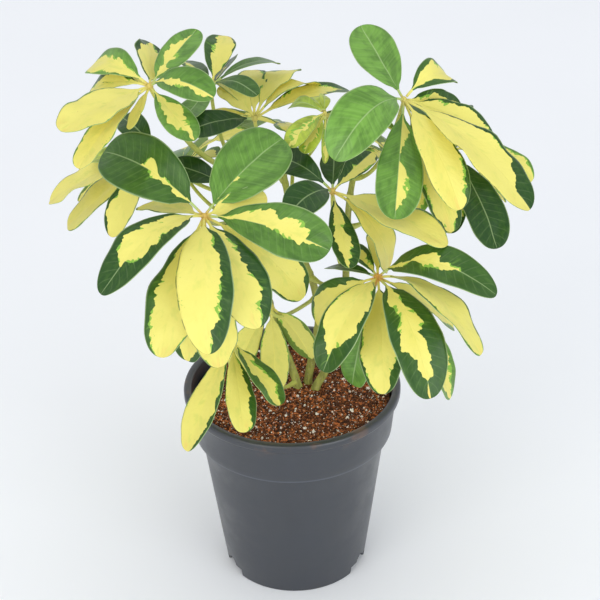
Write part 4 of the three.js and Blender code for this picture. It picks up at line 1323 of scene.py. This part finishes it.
class PLANT_OT_stage(bpy.types.Operator):
    """Lay the floor, hang the lights and set the camera"""
    bl_idname = "umbrella_plant.stage"
    bl_label = "Stage"

    def execute(self, context):
        stage = settings().stage
        scene = context.scene
        plane = bpy.data.meshes.new("floor")
        plane.from_pydata(FLOOR_CORNERS, [], [(0, 1, 2, 3)])
        material, graph, shader = new_material("floor_paint")
        cloud = graph.noise(graph.place(), 3.0, 3.0)
        color = graph.mix(graph.ramp(cloud, 0.3, 0.7), tint(stage.floor, 0.99),
                          tint(stage.floor, 1.01))
        graph.give(shader, {"Base Color": color, "Roughness": 0.6})
        plane.materials.append(material)
        floor = link("floor", plane)

        world = bpy.data.worlds.new("studio")
        world.use_nodes = True
        background = world.node_tree.nodes["Background"]
        background.inputs[0].default_value = SKY_COLOR
        background.inputs[1].default_value = SKY_STRENGTH
        scene.world = world
        scene.view_settings.view_transform = "Standard"
        for name, (place, size, power, color) in LAMPS.items():
            light = bpy.data.lights.new(name, "AREA")
            light.shape = "DISK"
            light.size = size
            light.energy = power
            light.color = color
            lamp = link(name, light)
            lamp.location = place
            ray = LAMP_TARGET - Vector(place)
            lamp.rotation_euler = ray.to_track_quat("-Z", "Y").to_euler()

        camera = bpy.data.cameras.new("camera")
        camera.lens = stage.lens
        camera.sensor_width = 36.0
        camera.clip_end = 50.0
        eye = link("camera", camera)
        tilt, roll = radians(CAMERA_TILT, CAMERA_ROLL)
        eye.location = CAMERA_TARGET + CAMERA_DISTANCE * Vector((0, -math.cos(tilt),
                                                                 math.sin(tilt)))
        ahead = (CAMERA_TARGET - eye.location).normalized()
        right = Vector((1, 0, 0))
        above = right.cross(ahead)
        right, above = (right * math.cos(roll) + above * math.sin(roll),
                        above * math.cos(roll) - right * math.sin(roll))
        eye.rotation_euler = Matrix((right, above, -ahead)).transposed().to_euler()
        scene.camera = eye
        return {"FINISHED"}


class PLANT_PT_panel(bpy.types.Panel):
    """Lists the plant's pieces and their settings"""
    bl_label = "Umbrella Plant"
    bl_idname = "PLANT_PT_panel"
    bl_space_type = "VIEW_3D"
    bl_region_type = "UI"
    bl_category = "Umbrella Plant"

    def draw(self, context):
        layout = self.layout
        for operator in OPERATORS:
            layout.operator(operator.bl_idname)
        for group in (settings().plant, settings().pot, settings().soil, settings().stage):
            box = layout.box()
            for name in group.__annotations__:
                box.prop(group, name)


GROUPS = (PlantSettings, PotSettings, SoilSettings, StageSettings, UmbrellaPlantSettings)
OPERATORS = (PLANT_OT_stage, PLANT_OT_pot, PLANT_OT_soil, PLANT_OT_stems, PLANT_OT_leaves)
CLASSES = (*GROUPS, *OPERATORS, PLANT_PT_panel)


def register():
    for cls in CLASSES:
        bpy.utils.register_class(cls)
    bpy.types.Scene.umbrella_plant = PointerProperty(type=UmbrellaPlantSettings)


def unregister():
    del bpy.types.Scene.umbrella_plant
    for cls in reversed(CLASSES):
        bpy.utils.unregister_class(cls)


def main():
    register()
    make_speckle_group()
    make_blade_group()
    make_sweep_tree()
    make_scatter_tree()
    bpy.ops.umbrella_plant.stage()
    bpy.ops.umbrella_plant.pot()
    bpy.ops.umbrella_plant.soil()
    bpy.ops.umbrella_plant.stems()
    bpy.ops.umbrella_plant.leaves()


if __name__ == "__main__":
    main()
